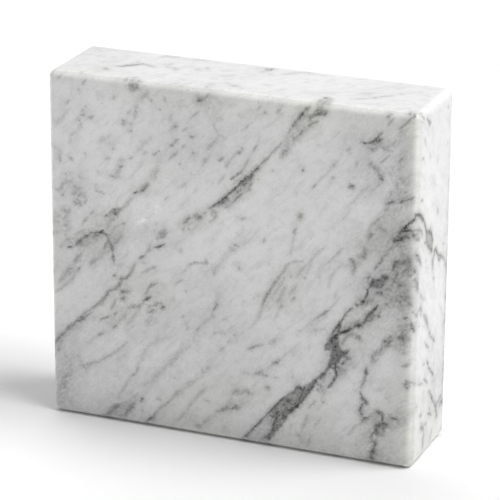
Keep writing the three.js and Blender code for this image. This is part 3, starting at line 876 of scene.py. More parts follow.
# Soft grey clouds on the front.
FRONT_CLOUDS = (
    # the top, left of the middle
    (2.2, 0.1, (-12, 174), (-8, 168)),
    (2.2, 0.08, (-28, 171), (-22, 170)),
    (3.5, 0.1, (-16, 168), (-9, 173)),
    (3, 0.05, (-22, 155), (-14, 158)),
    (3.5, 0.07, (-40, 150), (-36, 156)),
    (2.2, 0.1, (-21, 144), (-15, 151)),
    (1.5, 0.1, (-45.6, 170.4), (-43.8, 168.6)),
    (1.5, 0.22, (-38.6, 134), (-35.4, 138)),
    (3, 0.07, (-26, 169)),
    (1.5, 0.14, (-22, 161), (-20, 164.6)),
    # the top, right of the middle: the long vein runs up to the edge here
    (1.8, 0.14, (27, 156), (33, 163)),
    (1.5, 0.18, (3.6, 138.4), (8.4, 141.8)),
    (3, 0.1, (8, 171), (13, 172)),
    (1.5, 0.28, (16.2, 144.6), (17, 145.8)),
    (2, 0.14, (13, 142), (16, 145)),
    (2.2, 0.12, (27.4, 152.4), (29.4, 156)),
    (2, 0.2, (37.6, 172), (39.6, 176)),
    (1.6, 0.14, (34.6, 160.6), (38.6, 164)),
    (2, 0.14, (33, 159)),
    # the top right corner
    (3.5, 0.1, (62, 162), (66, 167)),
    (5, 0.13, (66, 150), (78, 150), (90, 147)),
    (3.5, 0.1, (84, 141), (92, 150)),
    (4, 0.07, (70, 134), (76, 148)),
    (4, 0.07, (70, 134), (75, 144)),
    (2, 0.12, (62, 144), (66, 147)),
    (3, 0.13, (85, 168), (89, 172)),
    (2.5, 0.08, (85, 164), (88, 169)),
    (2.5, 0.16, (79, 162), (82, 164)),
    (2.2, 0.12, (79.4, 160.6), (84, 164)),
    (1.8, 0.14, (86, 137), (87.6, 141)),
    # above mid height, on the left: the arc and what hangs from it
    (2, 0.1, (-90, 117), (-84, 118)),
    (4, 0.14, (-74, 100), (-68, 106), (-62, 108)),
    (4, 0.14, (-92, 101), (-87, 106)),
    (2.4, 0.14, (-95, 96.6), (-88, 97)),
    (3, 0.1, (-92, 88), (-84, 92), (-76, 92)),
    (2.4, 0.05, (-90, 134), (-87, 132)),
    (2.0, 0.12, (-90, 109), (-86, 110)),
    (3, 0.1, (-88, 101)),
    (2.2, 0.16, (-87, 98), (-85, 103)),
    (2.2, 0.24, (-84, 92), (-80, 92)),
    (1.5, 0.16, (-80, 118), (-76, 118.6)),
    (2, 0.1, (-69, 116), (-67, 119)),
    (1.8, 0.16, (-80, 97), (-75, 97.6)),
    (1.5, 0.2, (-70, 96), (-68.4, 98.6)),
    (1.6, 0.1, (-64, 129), (-62, 132.6)),
    (1.5, 0.25, (-61, 108), (-57.6, 112.6)),
    (1.5, 0.16, (-64, 98), (-62, 99.6)),
    (1.6, 0.22, (-65.6, 90.4), (-62, 91.6)),
    (1.5, 0.1, (-48.6, 121), (-47.6, 122.6)),
    (0.9, -0.2, (-48.2, 110.2)),
    # above mid height, left of the middle
    (2.8, 0.1, (-30, 128), (-20, 134), (-13, 141)),
    (2.8, 0.14, (-5, 122), (0, 128)),
    (3, 0.1, (-5, 120), (2, 126)),
    (3, 0.08, (-18, 108), (-10, 112)),
    (2.5, 0.12, (-48, 95), (-44, 102), (-35, 104)),
    (1.6, 0.2, (-44.6, 130), (-42, 128.4)),
    (1.0, -0.26, (-46, 109.2), (-43.6, 109.2)),
    (1.0, -0.22, (-48.2, 107.3), (-46.2, 108.3)),
    (2.0, 0.12, (-45, 106), (-43, 107)),
    (2.5, 0.15, (-41, 132), (-38, 134)),
    (2, 0.12, (-42, 130), (-38, 133)),
    (1.0, -0.18, (-38.2, 117.2)),
    (0.8, -0.14, (-36, 116.8)),
    (0.9, -0.22, (-38.4, 114.6)),
    (1.6, 0.18, (-39.4, 107), (-37, 108.6)),
    (3, 0.08, (-34, 108), (-30, 104)),
    (1.6, 0.16, (-38, 101), (-33.6, 103.6)),
    (1.6, 0.18, (-39, 96), (-35, 97)),
    (2, 0.12, (-10.6, 119.6), (-6, 118.6)),
    (1.5, 0.2, (-5, 122.4), (-3.4, 124)),
    # above mid height, right of the middle: the tail of the long vein
    (2.0, 0.16, (0.4, 121.4), (3, 125), (5.4, 127)),
    (1.5, 0.22, (-1.4, 129), (1.4, 130)),
    (1.5, 0.12, (8, 132.6), (8.6, 135.4)),
    (1.5, 0.16, (36.4, 120.4), (37, 124)),
    (2.4, 0.14, (37, 122)),
    # above mid height, on the right: the small ragged patch and what runs past it
    (3, 0.11, (79, 126), (86, 134)),
    (4, 0.1, (62, 112), (70, 116)),
    (3, 0.09, (81, 113), (90, 114)),
    (4, 0.15, (85, 112), (92, 116)),
    (2, 0.1, (64, 110), (70, 112)),
    (2, 0.22, (90, 101.4), (96, 103)),
    (6, 0.1, (62, 90), (72, 94), (80, 98)),
    (2, 0.1, (80, 95), (86, 92)),
    (2.2, 0.15, (71, 91.4), (78, 92.8)),
    (1.6, 0.1, (49.6, 116), (52, 119.6)),
    (1.5, 0.2, (62.8, 100.4), (63.4, 102.6)),
    (1.5, 0.2, (58.4, 99.6), (60.4, 100.4)),
    (1.5, 0.14, (66, 105.8), (69, 107)),
    (2.4, 0.2, (66, 101.5), (67.4, 105)),
    (1.5, 0.22, (85.6, 116), (89, 116.8)),
    (1.5, 0.22, (81.4, 100.2), (84.6, 103.4)),
    (1.5, 0.2, (85, 96.6), (87.6, 98.2)),
    (1.5, 0.14, (92, 126), (96, 128.6)),
    (1.6, 0.16, (90, 121.6), (95, 120.4)),
    (3, 0.14, (94, 102)),
    (2, 0.14, (94, 98), (96, 101)),
    # below mid height, on the left: the long vein of the left side
    (3.5, 0.16, (-60, 82), (-55, 88)),
    (2, 0.12, (-88, 76), (-80, 78.4)),
    (2.5, 0.09, (-56, 69), (-50, 73)),
    (1.5, 0.16, (-55.6, 55), (-53, 61.4)),
    (4, 0.06, (-82, 48), (-70, 54)),
    (2, 0.1, (-84, 79), (-81, 77)),
    (3.5, 0.1, (-86, 77)),
    (2, 0.09, (-76, 43), (-73, 47)),
    (1.5, 0.18, (-61.6, 84), (-61, 87.4)),
    (1.5, 0.16, (-61.6, 76.6), (-60, 78)),
    # below mid height, left of the middle
    (5, 0.07, (-24, 82), (-10, 80), (6, 82)),
    (4, 0.06, (-34, 64), (-24, 70)),
    (5, 0.06, (-12, 62), (2, 72)),
    (1.5, 0.16, (-45, 63), (-38, 62)),
    (4, 0.12, (-42, 55), (-39, 64)),
    (3.5, 0.12, (-22, 47), (-16, 54)),
    (2, 0.12, (-38.4, 71), (-36.6, 73)),
    (1.6, 0.1, (-34, 54), (-32, 57)),
    (1.6, 0.12, (-12, 44), (-9, 46)),
    (1.8, 0.1, (-7, 59), (-5, 60.6)),
    # below mid height, right of the middle
    (2, 0.15, (44, 68), (50, 73)),
    (2.5, 0.09, (34, 62), (40, 64)),
    (3, 0.06, (2, 52), (10, 62)),
    (2.4, 0.13, (20, 73), (23, 74)),
    (2, 0.14, (30, 73)),
    (3, 0.13, (43, 64), (47, 67)),
    (3, 0.12, (42, 62), (46, 66)),
    # below mid height, on the right: the dark ragged patch and the strands that leave it
    (4, 0.1, (84, 88), (92, 88)),
    (2, 0.12, (66, 82), (70, 87)),
    (5, 0.14, (84, 84), (94, 84)),
    (3, 0.15, (79, 80), (85, 84)),
    (4, 0.15, (88, 73), (96, 74)),
    (1.5, 0.18, (58, 69.6), (61, 76)),
    (2.5, 0.15, (82, 71), (94, 74)),
    (3, 0.14, (83, 66), (89, 62)),
    (4, 0.14, (88, 68), (91, 61)),
    (2, 0.14, (77, 56), (81, 63)),
    (3, 0.2, (55, 57), (59.5, 53)),
    (4, 0.1, (68, 52), (80, 54)),
    (1.8, 0.16, (48.4, 65.6), (51, 68)),
    (2, 0.14, (50, 55.6), (53, 52.6)),
    (2, 0.12, (64, 74), (67, 79)),
    (2.4, 0.25, (57.6, 66.8), (61, 68)),
    (1.5, 0.25, (58, 60), (59.6, 62.4)),
    (2, 0.18, (58, 61)),
    (1.0, -0.2, (53.6, 47.6), (54.6, 48.4)),
    (2.4, 0.14, (58, 45.5), (61, 45.5)),
    (1.6, 0.2, (57, 44), (59.4, 47)),
    (2.4, 0.14, (71, 82.5), (75, 86)),
    (1.6, 0.18, (68, 80.4), (72, 84)),
    (1.8, 0.16, (65, 49), (67, 52)),
    (2, 0.2, (87, 69), (92, 67.6)),
    # the bottom left corner
    (1.6, 0.16, (-51.6, 25), (-47.6, 30.4)),
    (6, 0.12, (-92, 6), (-90, 16), (-87, 28)),
    (4, 0.06, (-66, 8), (-62, 18)),
    (2, 0.2, (-52.6, 8), (-48.6, 15)),
    (3, 0.12, (-95, 22)),
    (1.8, 0.14, (-91, 12), (-93, 15)),
    (2, 0.1, (-88, 29), (-86, 31)),
    (2.6, 0.14, (-82, 27), (-80, 29)),
    (1.8, 0.1, (-78, 21.6), (-80, 22.6)),
    (1.8, 0.1, (-79, 39), (-76, 40)),
    (1.6, 0.14, (-61, 24.6), (-58, 25.8)),
    # the foot, left of the middle
    (3.5, 0.13, (-51, 22.5), (-44, 24), (-36, 31), (-27, 39)),
    (2.2, 0.14, (-4, 15.4), (2, 16.8)),
    (0.9, -0.16, (-20, 21)),
    (1.6, 0.1, (-24.6, 20.4), (-23.6, 21.4)),
    (0.9, -0.16, (-7, 36)),
    (3, 0.06, (-4, 12)),
    # the foot, right of the middle: the big vein with its dotted edges
    (1.8, 0.42, (2.6, 25.6), (6, 27.2), (12, 27.2)),
    (2.2, 0.12, (8, 26.6), (15, 27.4)),
    (3, 0.12, (27, 20), (33, 27)),
    (2.0, 0.14, (28, 22), (33, 27)),
    (3, 0.14, (2, 17), (12, 24)),
    (2.4, 0.1, (22, 12), (27, 18)),
    (1.5, 0.15, (3, 25.4), (5, 26)),
    (1.6, 0.46, (0, 17.4), (3, 18.2), (5.4, 18.8)),
    (2.4, 0.14, (22, 15), (23, 20)),
    (2.2, 0.16, (22.6, 13), (24.6, 17)),
    (1.6, 0.14, (26, 10), (28.6, 9)),
    (1.6, 0.24, (17, 2.6), (21, 3)),
    (2, 0.14, (17, 1.5), (20, 2)),
    (2.4, 0.14, (31, 23), (35, 26.5)),
    (1.5, 0.15, (32.4, 12), (35, 14)),
    # the bottom right corner: the wandering vein
    (4, 0.08, (72, 42), (86, 44)),
    (2.4, 0.16, (92, 25), (95, 31)),
    (2.6, 0.25, (70.5, 32), (69.5, 25), (70.5, 22)),
    (4, 0.13, (66, 8), (72, 14)),
    (2, 0.12, (60, 2), (88, 3)),
    (2, 0.12, (49, 35)),
    (1.8, 0.2, (47.8, 33), (49.4, 37)),
    (2, 0.12, (67, 40), (70, 45)),
    (1.5, 0.22, (70, 31), (73, 32.6)),
    (1.8, 0.14, (67.6, 25), (70.4, 27)),
    (1.8, 0.18, (73.6, 13.4), (76, 10.4)),
    (1.5, 0.14, (75, 5.6), (77, 6.6)),
    (2, 0.14, (81, 21)),
    (1.8, 0.18, (79, 19.6), (84, 20.6)),
    (3.4, 0.25, (79, 17), (83, 21)),
)
RIGHT_MARKS = (
    # the big vein: in from the front edge, past the grey patch, and off to the back edge
    (1.1, 0.62, (-25.6, 130.8), (-23, 130.4), (-20.4, 129), (-18, 127), (-16.4, 125.8)),
    (1.3, 0.4, (-20, 127.4), (-17.6, 126.4)),
    (1.1, 0.55, (-16.4, 125.8), (-14, 122), (-12.4, 119.4), (-10.4, 118.2)),
    (1.3, 0.55, (-10.4, 118.2), (-6.4, 116.6), (-3.6, 113.6), (-1.8, 110.4)),
    (0.9, 0.35, (-12.4, 119.4), (-12, 116.4), (-11, 113)),
    (1.3, 0.5, (-11, 113), (-9.4, 110.6), (-6.4, 108.4), (-4.2, 106.8), (-2.6, 105.2)),
    (1.1, 0.45, (-4.4, 107.4), (-3.2, 105.6)),
    (1.4, 0.4, (-14, 113.4), (-12, 113)),
    (1.2, 0.6, (0.8, 105), (2.8, 104.8), (4.8, 102.8), (6.4, 101)),
    (1.0, 0.45, (6.4, 101), (9, 99.8), (12.6, 98.2), (14.6, 96.6), (16.4, 95.4)),
    (0.9, 0.4, (7, 99.4), (9, 97.4), (11, 97.8)),
    (1.2, 0.38, (-1.6, 100.4), (0.4, 102.6), (1.8, 105)),
    (1.2, 0.3, (16.4, 95), (19, 91.6), (22, 88)),
    (1.0, 0.35, (-2.2, 101), (-1.2, 99), (-0.6, 96)),
    (1.4, 0.3, (0.6, 91), (1.8, 90.4)),
    # the strand below it, by the front edge
    (1.2, 0.4, (-25.4, 123), (-21.6, 122.8), (-19, 121), (-17.8, 118.8)),
    (1.0, 0.35, (-25.4, 118.6), (-22, 117.4)),
    (1.3, 0.45, (-25, 111), (-22, 108.6), (-20, 105.4), (-18.4, 103.6)),
    (1.2, 0.35, (-24.8, 98), (-23, 96), (-21.4, 92)),
    (1.2, 0.22, (-20, 90), (-17, 87.6), (-14, 85.4), (-10, 84)),
    # the long one down the middle, from a small ring
    (1.3, 0.4, (-21, 81.6), (-18.4, 82), (-16.6, 80.4), (-16.6, 77.8)),
    (1.0, 0.28, (-24, 80.4), (-21, 78.6)),
    (1.4, 0.42, (-13, 76.6), (-10.2, 74.6), (-8.2, 72), (-6.6, 69.4), (-5, 66.8)),
    (1.1, 0.5, (-4, 64.6), (-2.4, 63)),
    (1.0, 0.4, (-2, 62), (1, 60), (3.4, 58)),
    (1.1, 0.6, (3.2, 58), (5.2, 56.6)),
    (0.9, 0.35, (-10, 61.8), (-8.6, 60), (-6, 58), (-3, 56)),
    (1.0, 0.5, (-24.8, 73), (-24, 72)),
    (0.9, 0.25, (-20, 73.4), (-18, 72.6)),
    (1.0, 0.12, (10, 74), (15, 69.6), (17, 66)),
    # the one below
    (1.1, 0.55, (-5.4, 49.6), (-4, 48.2)),
    (1.0, 0.45, (-4, 48.2), (-2, 45), (1.4, 42), (3.4, 40.4)),
    (1.1, 0.5, (3.2, 40.4), (4.6, 39)),
    (0.9, 0.3, (-12, 50.4), (-9, 49.8)),
    (0.9, 0.22, (-25, 45.4), (-21, 44.2)),
    (0.9, 0.28, (-20, 43.2), (-16.4, 42), (-11, 40.2)),
    (1.1, 0.45, (-9.4, 42), (-7, 40.4), (-3.4, 37.8)),
    # the lowest: down to the right, with a branch to the back edge
    (1.1, 0.35, (-2.4, 33), (0, 31.4), (1.6, 30)),
    (1.2, 0.55, (1.6, 30), (3.8, 27), (5.4, 25)),
    (1.1, 0.4, (5.4, 25), (8, 22.2), (9.6, 19.6), (11, 17), (12, 14.8)),
    (1.3, 0.35, (10.6, 14.4), (13, 14.4)),
    (1.3, 0.4, (10, 20), (12, 20.8), (14.4, 21.2)),
    (1.1, 0.45, (14.4, 21.4), (16.4, 22.6), (19, 22.4)),
    (1.3, 0.5, (15.4, 17.6), (17.4, 18.8), (20, 18.8), (23, 18)),
    (0.9, 0.5, (-14, 24.8), (-12, 23.8)),
    (1.2, 0.5, (-13.6, 18.2), (-12, 17), (-9.6, 16.6), (-8.4, 15.4)),
    (0.9, 0.28, (-12.4, 20), (-10.4, 18.6)),
    (1.3, 0.28, (-8.6, 14.6), (-7.6, 12.6), (-8.6, 9), (-8, 5)),
    (1.2, 0.4, (-5.6, 17), (-4.4, 16.8)),
    (0.9, 0.5, (-2.8, 21.6), (-1, 20.6), (1, 20), (3.6, 18.2)),
    (1.0, 0.2, (-20.4, 32.4), (-19, 31)),
    # spots above the big vein
    (1.3, 0.3, (-21, 180), (-20, 178), (-19.4, 175.8)),
    (0.9, 0.4, (-16, 176), (-14, 174.4), (-12.4, 173.2)),
    (1.3, 0.55, (-12.6, 172.4), (-10.6, 172)),
    (1.3, 0.25, (-19, 167), (-17.6, 165.4), (-16, 163)),
    (0.9, 0.35, (-20.6, 157.8), (-18.8, 157)),
    (1.3, 0.22, (-9.8, 156.4), (-9, 154.8)),
    (1.2, 0.25, (15, 173), (17, 172)),
    (0.8, 0.5, (-20.6, 136.8), (-18.8, 136.2)),
    (1.3, 0.3, (3.8, 125.6), (4.6, 123.4), (5.6, 122.4)),
    (0.9, 0.28, (14, 104.2), (16.6, 103)),
    (1.0, 0.18, (-12.6, 104.2), (-10, 103.2)),
)
RIGHT_CLOUDS = (
    # greys beside the big vein
    (1.6, 0.16, (1, 103), (4, 101)),
    (1.8, 0.16, (7, 99), (14, 97)),
    (1.6, 0.18, (0, 103), (-1, 98), (1, 92)),
    (1.5, 0.16, (2, 89), (1.6, 86), (2.6, 83)),
    (2.2, 0.2, (-24, 104), (-22, 93)),
    (1.6, 0.12, (-12, 100), (-6, 98)),
    (2.0, 0.1, (16, 108), (18, 106)),
    (3.0, 0.05, (-10, 146), (-2, 136)),
    (2.0, 0.08, (8, 142), (15, 137)),
    (1.7, 0.2, (2, 151.4), (2, 149.6)),
    (2.0, 0.09, (19, 170), (18, 162)),
    # round the long one and the ring
    (2.4, 0.16, (-21, 81), (-16, 78)),
    (2.0, 0.14, (-14, 76), (-8, 71)),
    (1.8, 0.1, (0, 76), (2, 73)),
    (2.5, 0.05, (-2, 128), (12, 118)),
    (1.6, 0.22, (-3.4, 55.6), (-2.4, 51)),
    (1.8, 0.2, (2.4, 55.4), (1.6, 51)),
    (1.6, 0.16, (4.6, 46), (5.4, 44)),
    (1.5, 0.12, (-1, 48), (4, 43)),
    (1.6, 0.24, (1, 37), (4, 36), (8.6, 35)),
    (2.0, 0.1, (21, 44), (22, 41)),
    (2.0, 0.1, (-8, 46), (-8, 40)),
    # low down
    (2.4, 0.08, (-9, 36), (-10, 28)),
    (1.8, 0.28, (-0.6, 23.6), (0.6, 22)),
    (2.0, 0.1, (-3, 28), (0, 24)),
    (1.6, 0.18, (8, 23), (11, 19)),
    (2.4, 0.16, (13, 21), (20, 20)),
    (1.6, 0.28, (6, 11), (4.6, 9), (3, 6), (2, 4)),
    (1.6, 0.16, (-8, 13), (-9, 6)),
    (2.0, 0.14, (-13.6, 27), (-12.4, 24)),
    (2.5, 0.09, (15, 31), (21, 29)),
    (2.5, 0.1, (8, 34), (8, 30)),
)
TOP_MARKS = (
    # the vein on the left, with its thin strand to the middle
    (1.4, 0.16, (-71, -11.6), (-68.4, -14)),
    (1.2, 0.4, (-66.6, -6.2), (-64.4, -5.6), (-62.6, -3), (-60.4, -1.4), (-58.4, 0.2), (-57.4, 2.2)),
    (1.1, 0.22, (-57, 2.6), (-54.6, 1.8), (-52, 0.6)),
    (1.2, 0.25, (-51, -0.8), (-49.4, -0.8)),
    (1.0, 0.2, (-60.6, 4.4), (-59.8, 3)),
    (1.0, 0.3, (-40.6, 1.8), (-39.4, 1.4)),
    (1.3, 0.25, (-38.8, -1.6), (-36.8, -1)),
    (1.1, 0.18, (-44.2, 2.4), (-43, 1.8)),
    (1.2, 0.2, (-44.8, 8.6), (-44.2, 7.2)),
    # spots
    (0.9, 0.24, (-78.6, -21.4), (-78.2, -22.4)),
    (1.2, 0.16, (-40.6, -14.8), (-39.4, -15.2)),
    (1.3, 0.2, (-28.8, 3.6), (-27.2, 2.6)),
    (1.2, 0.2, (-24.8, 8), (-24.4, 6.6)),
    (1.2, 0.35, (-1.6, -15.2), (-0.4, -14.6)),
    (1.1, 0.18, (2.4, -16.6), (3.6, -17.6)),
    (1.2, 0.18, (-28, -15), (-27, -15.8)),
    (1.0, 0.2, (-13.6, -20), (-13, -22)),
    (1.2, 0.5, (4.2, 19), (4.8, 16.4)),
    (1.2, 0.3, (1.4, 18.6), (2.6, 16.6), (3.6, 14.8)),
    (1.2, 0.22, (2.2, 12.8), (2.6, 11.6)),
    (1.3, 0.35, (65.8, -7.4), (67.8, -6.6)),
    (1.2, 0.2, (60, -12), (62.4, -10.6), (64.4, -9)),
    (1.2, 0.22, (68.6, -4.6), (71, -2.6), (73.6, -0.8)),
    (1.1, 0.2, (76, 4), (77, 3.2)),
    (1.2, 0.18, (88.6, 6), (89.6, 5.2)),
    # the veins that come up over the front edge
    (1.1, 0.3, (-55.4, -24.4), (-54.4, -22)),
    (1.0, 0.3, (-48, -24.4), (-47, -22.6)),
    (1.2, 0.6, (45.4, -15.8), (46.2, -17)),
    (1.0, 0.4, (93, -25), (92, -23)),
    (0.9, 0.3, (94.6, -20.4), (95.2, -18.6)),
    (1.2, 0.25, (44, -25), (44.8, -21.4), (45, -19)),
    (1.0, 0.25, (46.4, -24.4), (47.6, -21), (48, -19.4)),
    (1.3, 0.15, (50, -24.4), (49.4, -20), (48.4, -17), (47.2, -14.4)),
    (1.0, 0.35, (90.2, -24.6), (89.6, -21.6)),
)
TOP_CLOUDS = (
    (1.8, 0.24, (-66, -6), (-62, -3), (-58, 0)),
    (1.7, 0.24, (-71, -11), (-69, -14)),
    (1.8, 0.1, (-73, -16), (-70, -19)),
    (1.6, 0.1, (-57, 2), (-50, 0)),
    (2.2, 0.22, (-53.4, 17), (-50, 19.4), (-46, 20)),
    (1.6, 0.2, (-38.6, 18.4), (-34, 19.6), (-30, 20.4)),
    (2.4, 0.08, (-83, 18), (-81, 20)),
    (1.6, 0.18, (-76.4, -1), (-76, -2.4)),
    (1.9, 0.16, (-76.4, 7), (-74.4, 8)),
    (2.2, 0.08, (-90, 7), (-86, 7)),
    (1.5, 0.12, (-83, 6.6), (-81, 6.6)),
    (1.6, 0.14, (-42, -11.4), (-38.6, -11)),
    (1.6, 0.13, (-50.4, -12), (-49.4, -13.4)),
    (1.9, 0.36, (-51.4, -24.4), (-50.4, -20)),
    (1.5, 0.12, (-26, 3.4), (-21, 3.4)),
    (1.6, 0.1, (-17.4, 16), (-16.6, 16)),
    (1.5, 0.12, (-13.4, 8), (-12.4, 7)),
    (1.6, 0.2, (-15.8, -7.4), (-14, -7.6)),
    (1.5, 0.16, (-7, -11), (-5, -13)),
    (1.5, 0.14, (-4.4, -15.6), (-2, -15)),
    (1.5, 0.14, (-12.4, -17), (-11.4, -18.4)),
    (3.0, 0.08, (-4, 16), (-1, 17.4)),
    (1.8, 0.16, (2, 18), (4, 15)),
    (1.8, 0.1, (6, 10), (8.4, 9.6)),
    (2.2, 0.18, (12, 12), (15, 14), (18, 16.6), (20, 19)),
    (1.8, 0.12, (22, 19.4), (29, 20)),
    (1.8, 0.18, (11.6, -7), (13.2, -7)),
    (2.2, 0.05, (22, -10), (24, -13)),
    (2.0, 0.1, (31, 20), (33, 18)),
    (2.4, 0.1, (38.6, 12.4), (36, 8)),
    (1.7, 0.16, (35.4, -11.6), (38.6, -12.6)),
    (1.5, 0.1, (31.6, -8), (32.6, -9)),
    (2.8, 0.14, (58, -3.6), (62, -1), (64.4, 1)),
    (1.5, 0.1, (63, -3), (63.8, -4)),
    (1.7, 0.12, (72, 9), (73.4, 13)),
    (1.7, 0.06, (80, 1), (82, 1)),
    (3.0, 0.07, (82, 8), (87, 9.6)),
    (2.2, 0.09, (90.4, 13), (92, 10)),
    (1.6, 0.14, (87.4, -17), (88.6, -19)),
    (2.2, 0.1, (46, -23), (47.4, -17)),
)

# The faces that the photo doesn't show. Their marks go on from the edges that they share with
# the others, the way the sheets run.
BACK_MARKS = (
    # the upper vein goes on to the top edge, and the veins of the top face come over that edge
    (0.8, 0.55, (56, 142), (64, 148), (70, 155), (76, 161)),
    (0.9, 0.4, (76, 161), (84, 168), (90, 174), (97, 181)),
    (1.3, 0.3, (70, 158), (77, 168), (84, 181)),
    (0.9, 0.5, (4.5, 181), (0, 174), (-5, 168), (-8, 163)),
    (0.8, 0.35, (-8, 163), (-15, 154), (-24, 146), (-30, 139)),
    (1.3, 0.25, (-20, 152), (-30, 143), (-42, 131)),
    (0.9, 0.3, (-33, 181), (-40, 173), (-48, 167)),
    (0.8, 0.28, (-50, 163), (-60, 152), (-72, 142), (-80, 136)),
    (1.1, 0.4, (-60, 152), (-66, 147)),
    (0.9, 0.3, (24, 181), (18, 172), (12, 166)),
    (0.9, 0.35, (-66, 181), (-73, 172), (-80, 167)),
    (0.8, 0.18, (-84, 161), (-90, 157), (-97, 148)),
    # from the right edge: the tail of the big vein, and the lowest one
    (1.0, 0.55, (97, 87), (90, 79), (85, 70), (80, 62), (74, 52)),
    (0.9, 0.5, (97, 20), (90, 13), (84, 6), (80, -1)),
    (0.9, 0.35, (97, 24), (88, 18), (82, 12)),
    # from the left edge
    (1.0, 0.3, (-92, 30), (-86, 40), (-80, 46), (-77, 54)),
    (0.8, 0.28, (-97, 118), (-92, 126), (-85, 130), (-79, 139)),
    (0.9, 0.35, (-97, 74), (-93, 83), (-84, 87), (-77, 98)),
)
LEFT_MARKS = (
    # from the front's left edge, from the lowest vein up
    (0.9, 0.45, (-25.5, 37), (-20, 31), (-15, 27), (-9, 20)),
    (0.8, 0.3, (-9, 20), (-2, 14), (4, 6), (8, -1)),
    (1.2, 0.3, (-25, 31), (-18, 25), (-12, 22)),
    (0.8, 0.35, (-25.5, 76), (-18, 70), (-11, 64), (-4, 60)),
    (0.7, 0.3, (-4, 60), (2, 54), (8, 44), (14, 39), (18, 36)),
    (1.1, 0.5, (-25.5, 96), (-20, 92), (-16, 87)),
    (0.9, 0.4, (-16, 87), (-10, 80), (-6, 74)),
    (1.3, 0.28, (-25, 103), (-17, 96)),
    (0.8, 0.3, (-25, 120), (-16, 113), (-8, 104), (4, 96)),
    (0.7, 0.25, (4, 96), (10, 91), (16, 79), (25.5, 74)),
    (1.1, 0.35, (-2, 100), (4, 95)),
    # near the top, and the one that goes on to the back
    (1.2, 0.3, (-20, 175), (-17, 170)),
    (0.8, 0.35, (-10, 160), (-4, 153), (2, 148), (8, 140)),
    (0.9, 0.4, (8, 140), (13, 135), (18, 124), (25.5, 118)),
    (0.8, 0.22, (15, 169), (20, 157), (25.5, 148)),
)
UNDER_MARKS = (
    (0.9, 0.6, (7, -25.5), (14, -18), (22, -11), (30, -2)),
    (1.0, 0.5, (20, -25.5), (27, -18), (33, -10), (44, 2)),
    (0.8, 0.45, (30, -2), (40, 6), (48, 16), (56, 25.5)),
    (1.4, 0.35, (16, -22), (26, -11), (34, -2)),
    (0.9, 0.4, (-68, -25.5), (-60, -18), (-52, -9)),
    (0.8, 0.3, (-52, -9), (-42, 0), (-33, 12)),
    (0.8, 0.4, (-46, -25.5), (-36, -16), (-26, -8), (-18, 4)),
    (0.8, 0.35, (78, -25.5), (84, -20), (92, -12), (97, -8)),
)

# ---------------------------------------------------------------- outlines drawn on the stone

# Ragged grey patches: how dark each is, then its outline. Points are as in the rows of marks.
FRONT_AREAS = (
    # beside the core of the upper vein, and where its second strand meets the top edge
    (0.1, (-5, 123.2), (-1, 126), (4, 130), (9, 135), (13, 140), (12.5, 136), (9, 131), (4, 127),
     (0, 123.5)),
    (0.2, (-82, 91.6), (-78, 91), (-74, 92), (-70.5, 94.5), (-68.5, 98.5), (-72, 98.4), (-76, 96.6),
     (-79.5, 94.6)),
    (0.2, (-66.6, 108), (-64.6, 110.6), (-61.6, 112.8), (-56.8, 114.2), (-57.6, 112.4), (-59.6, 109.8),
     (-63, 108)),
    (0.26, (-53, 178.4), (-52.2, 175.6), (-51.4, 173.8), (-49.4, 174.4), (-47.2, 176), (-46.8, 178.4)),
    (0.36, (40.6, 170.6), (43.4, 173), (46, 173.8), (49.6, 175.2), (49.6, 176.6), (46.6, 177.4),
     (43.6, 176.6), (42, 174.6)),
    # the band of the big vein at the bottom
    (0.52, (19, 3.5), (21, 6), (22.5, 8), (23.6, 9.8), (24.6, 12.5), (25.6, 15.2), (24.5, 17.5),
     (22, 18.8), (23.7, 20.8), (25.2, 23), (28, 26.6), (30, 28.3), (32, 29.8), (33.6, 31), (35.2, 33.3),
     (36.4, 34.9), (38.2, 35), (39, 33.4), (40.2, 35.2), (42, 36.3), (44.5, 38.6), (46, 39.8),
     (46, 38.5), (44.6, 35.5), (43, 32.8), (41.5, 30.5), (40, 28), (37.5, 25.2), (35.5, 23.2),
     (33.3, 20.6), (31.3, 18.3), (29.8, 15.5), (28, 12.5), (25.8, 9.5), (23.5, 6.8), (22, 3.5)),
    (0.14, (8, 0), (9, 2), (12.5, 7), (17, 13), (21.5, 18), (25, 15.2), (24, 12), (21.5, 7.5),
     (18.5, 3), (18.5, 0)),
    # the dark patch that it rises to, the grey above that, and the patch further up
    (0.74, (52.6, 46.5), (55, 48.3), (56.5, 49.3), (58.5, 51), (59, 53), (60.8, 55), (62.4, 57.8),
     (60.4, 57.2), (58.6, 57.8), (58.3, 59.5), (57.6, 61), (57.5, 63), (57.3, 65), (55, 64.5),
     (53.5, 63), (52, 61), (51, 58.5), (50.2, 55.8), (51.5, 55.8), (53.5, 56.5), (53.6, 54.5), (53, 52),
     (52.6, 49.5)),
    (0.42, (53.5, 62.5), (55, 65.5), (56, 68), (57, 70.5), (58.3, 73), (58.9, 70), (58.2, 67.5),
     (57.7, 65.5)),
    (0.55, (72.5, 91), (74, 91.3), (76, 91.5), (78.5, 92), (80, 93.5), (80.5, 95), (82, 96.5),
     (81.5, 98.5), (79.8, 99.5), (78, 98), (77, 97), (75, 96.6), (73.3, 95.8), (73, 93.5)),
)
RIGHT_AREAS = (
    (0.26, (-25, 131), (-21, 129.6), (-17, 127.4), (-11.5, 119), (-14, 121), (-17, 124.4), (-20, 127),
     (-25, 130)),
    (0.2, (-26, 122.8), (-21, 122.6), (-18.6, 121), (-17, 118.4), (-19.5, 117), (-22, 117.6),
     (-26, 118.6)),
    (0.4, (-12, 118.6), (-8, 117.6), (-4, 115), (-1, 110.4), (-2.4, 105), (-5, 107), (-8.4, 109.6),
     (-11, 113)),
)

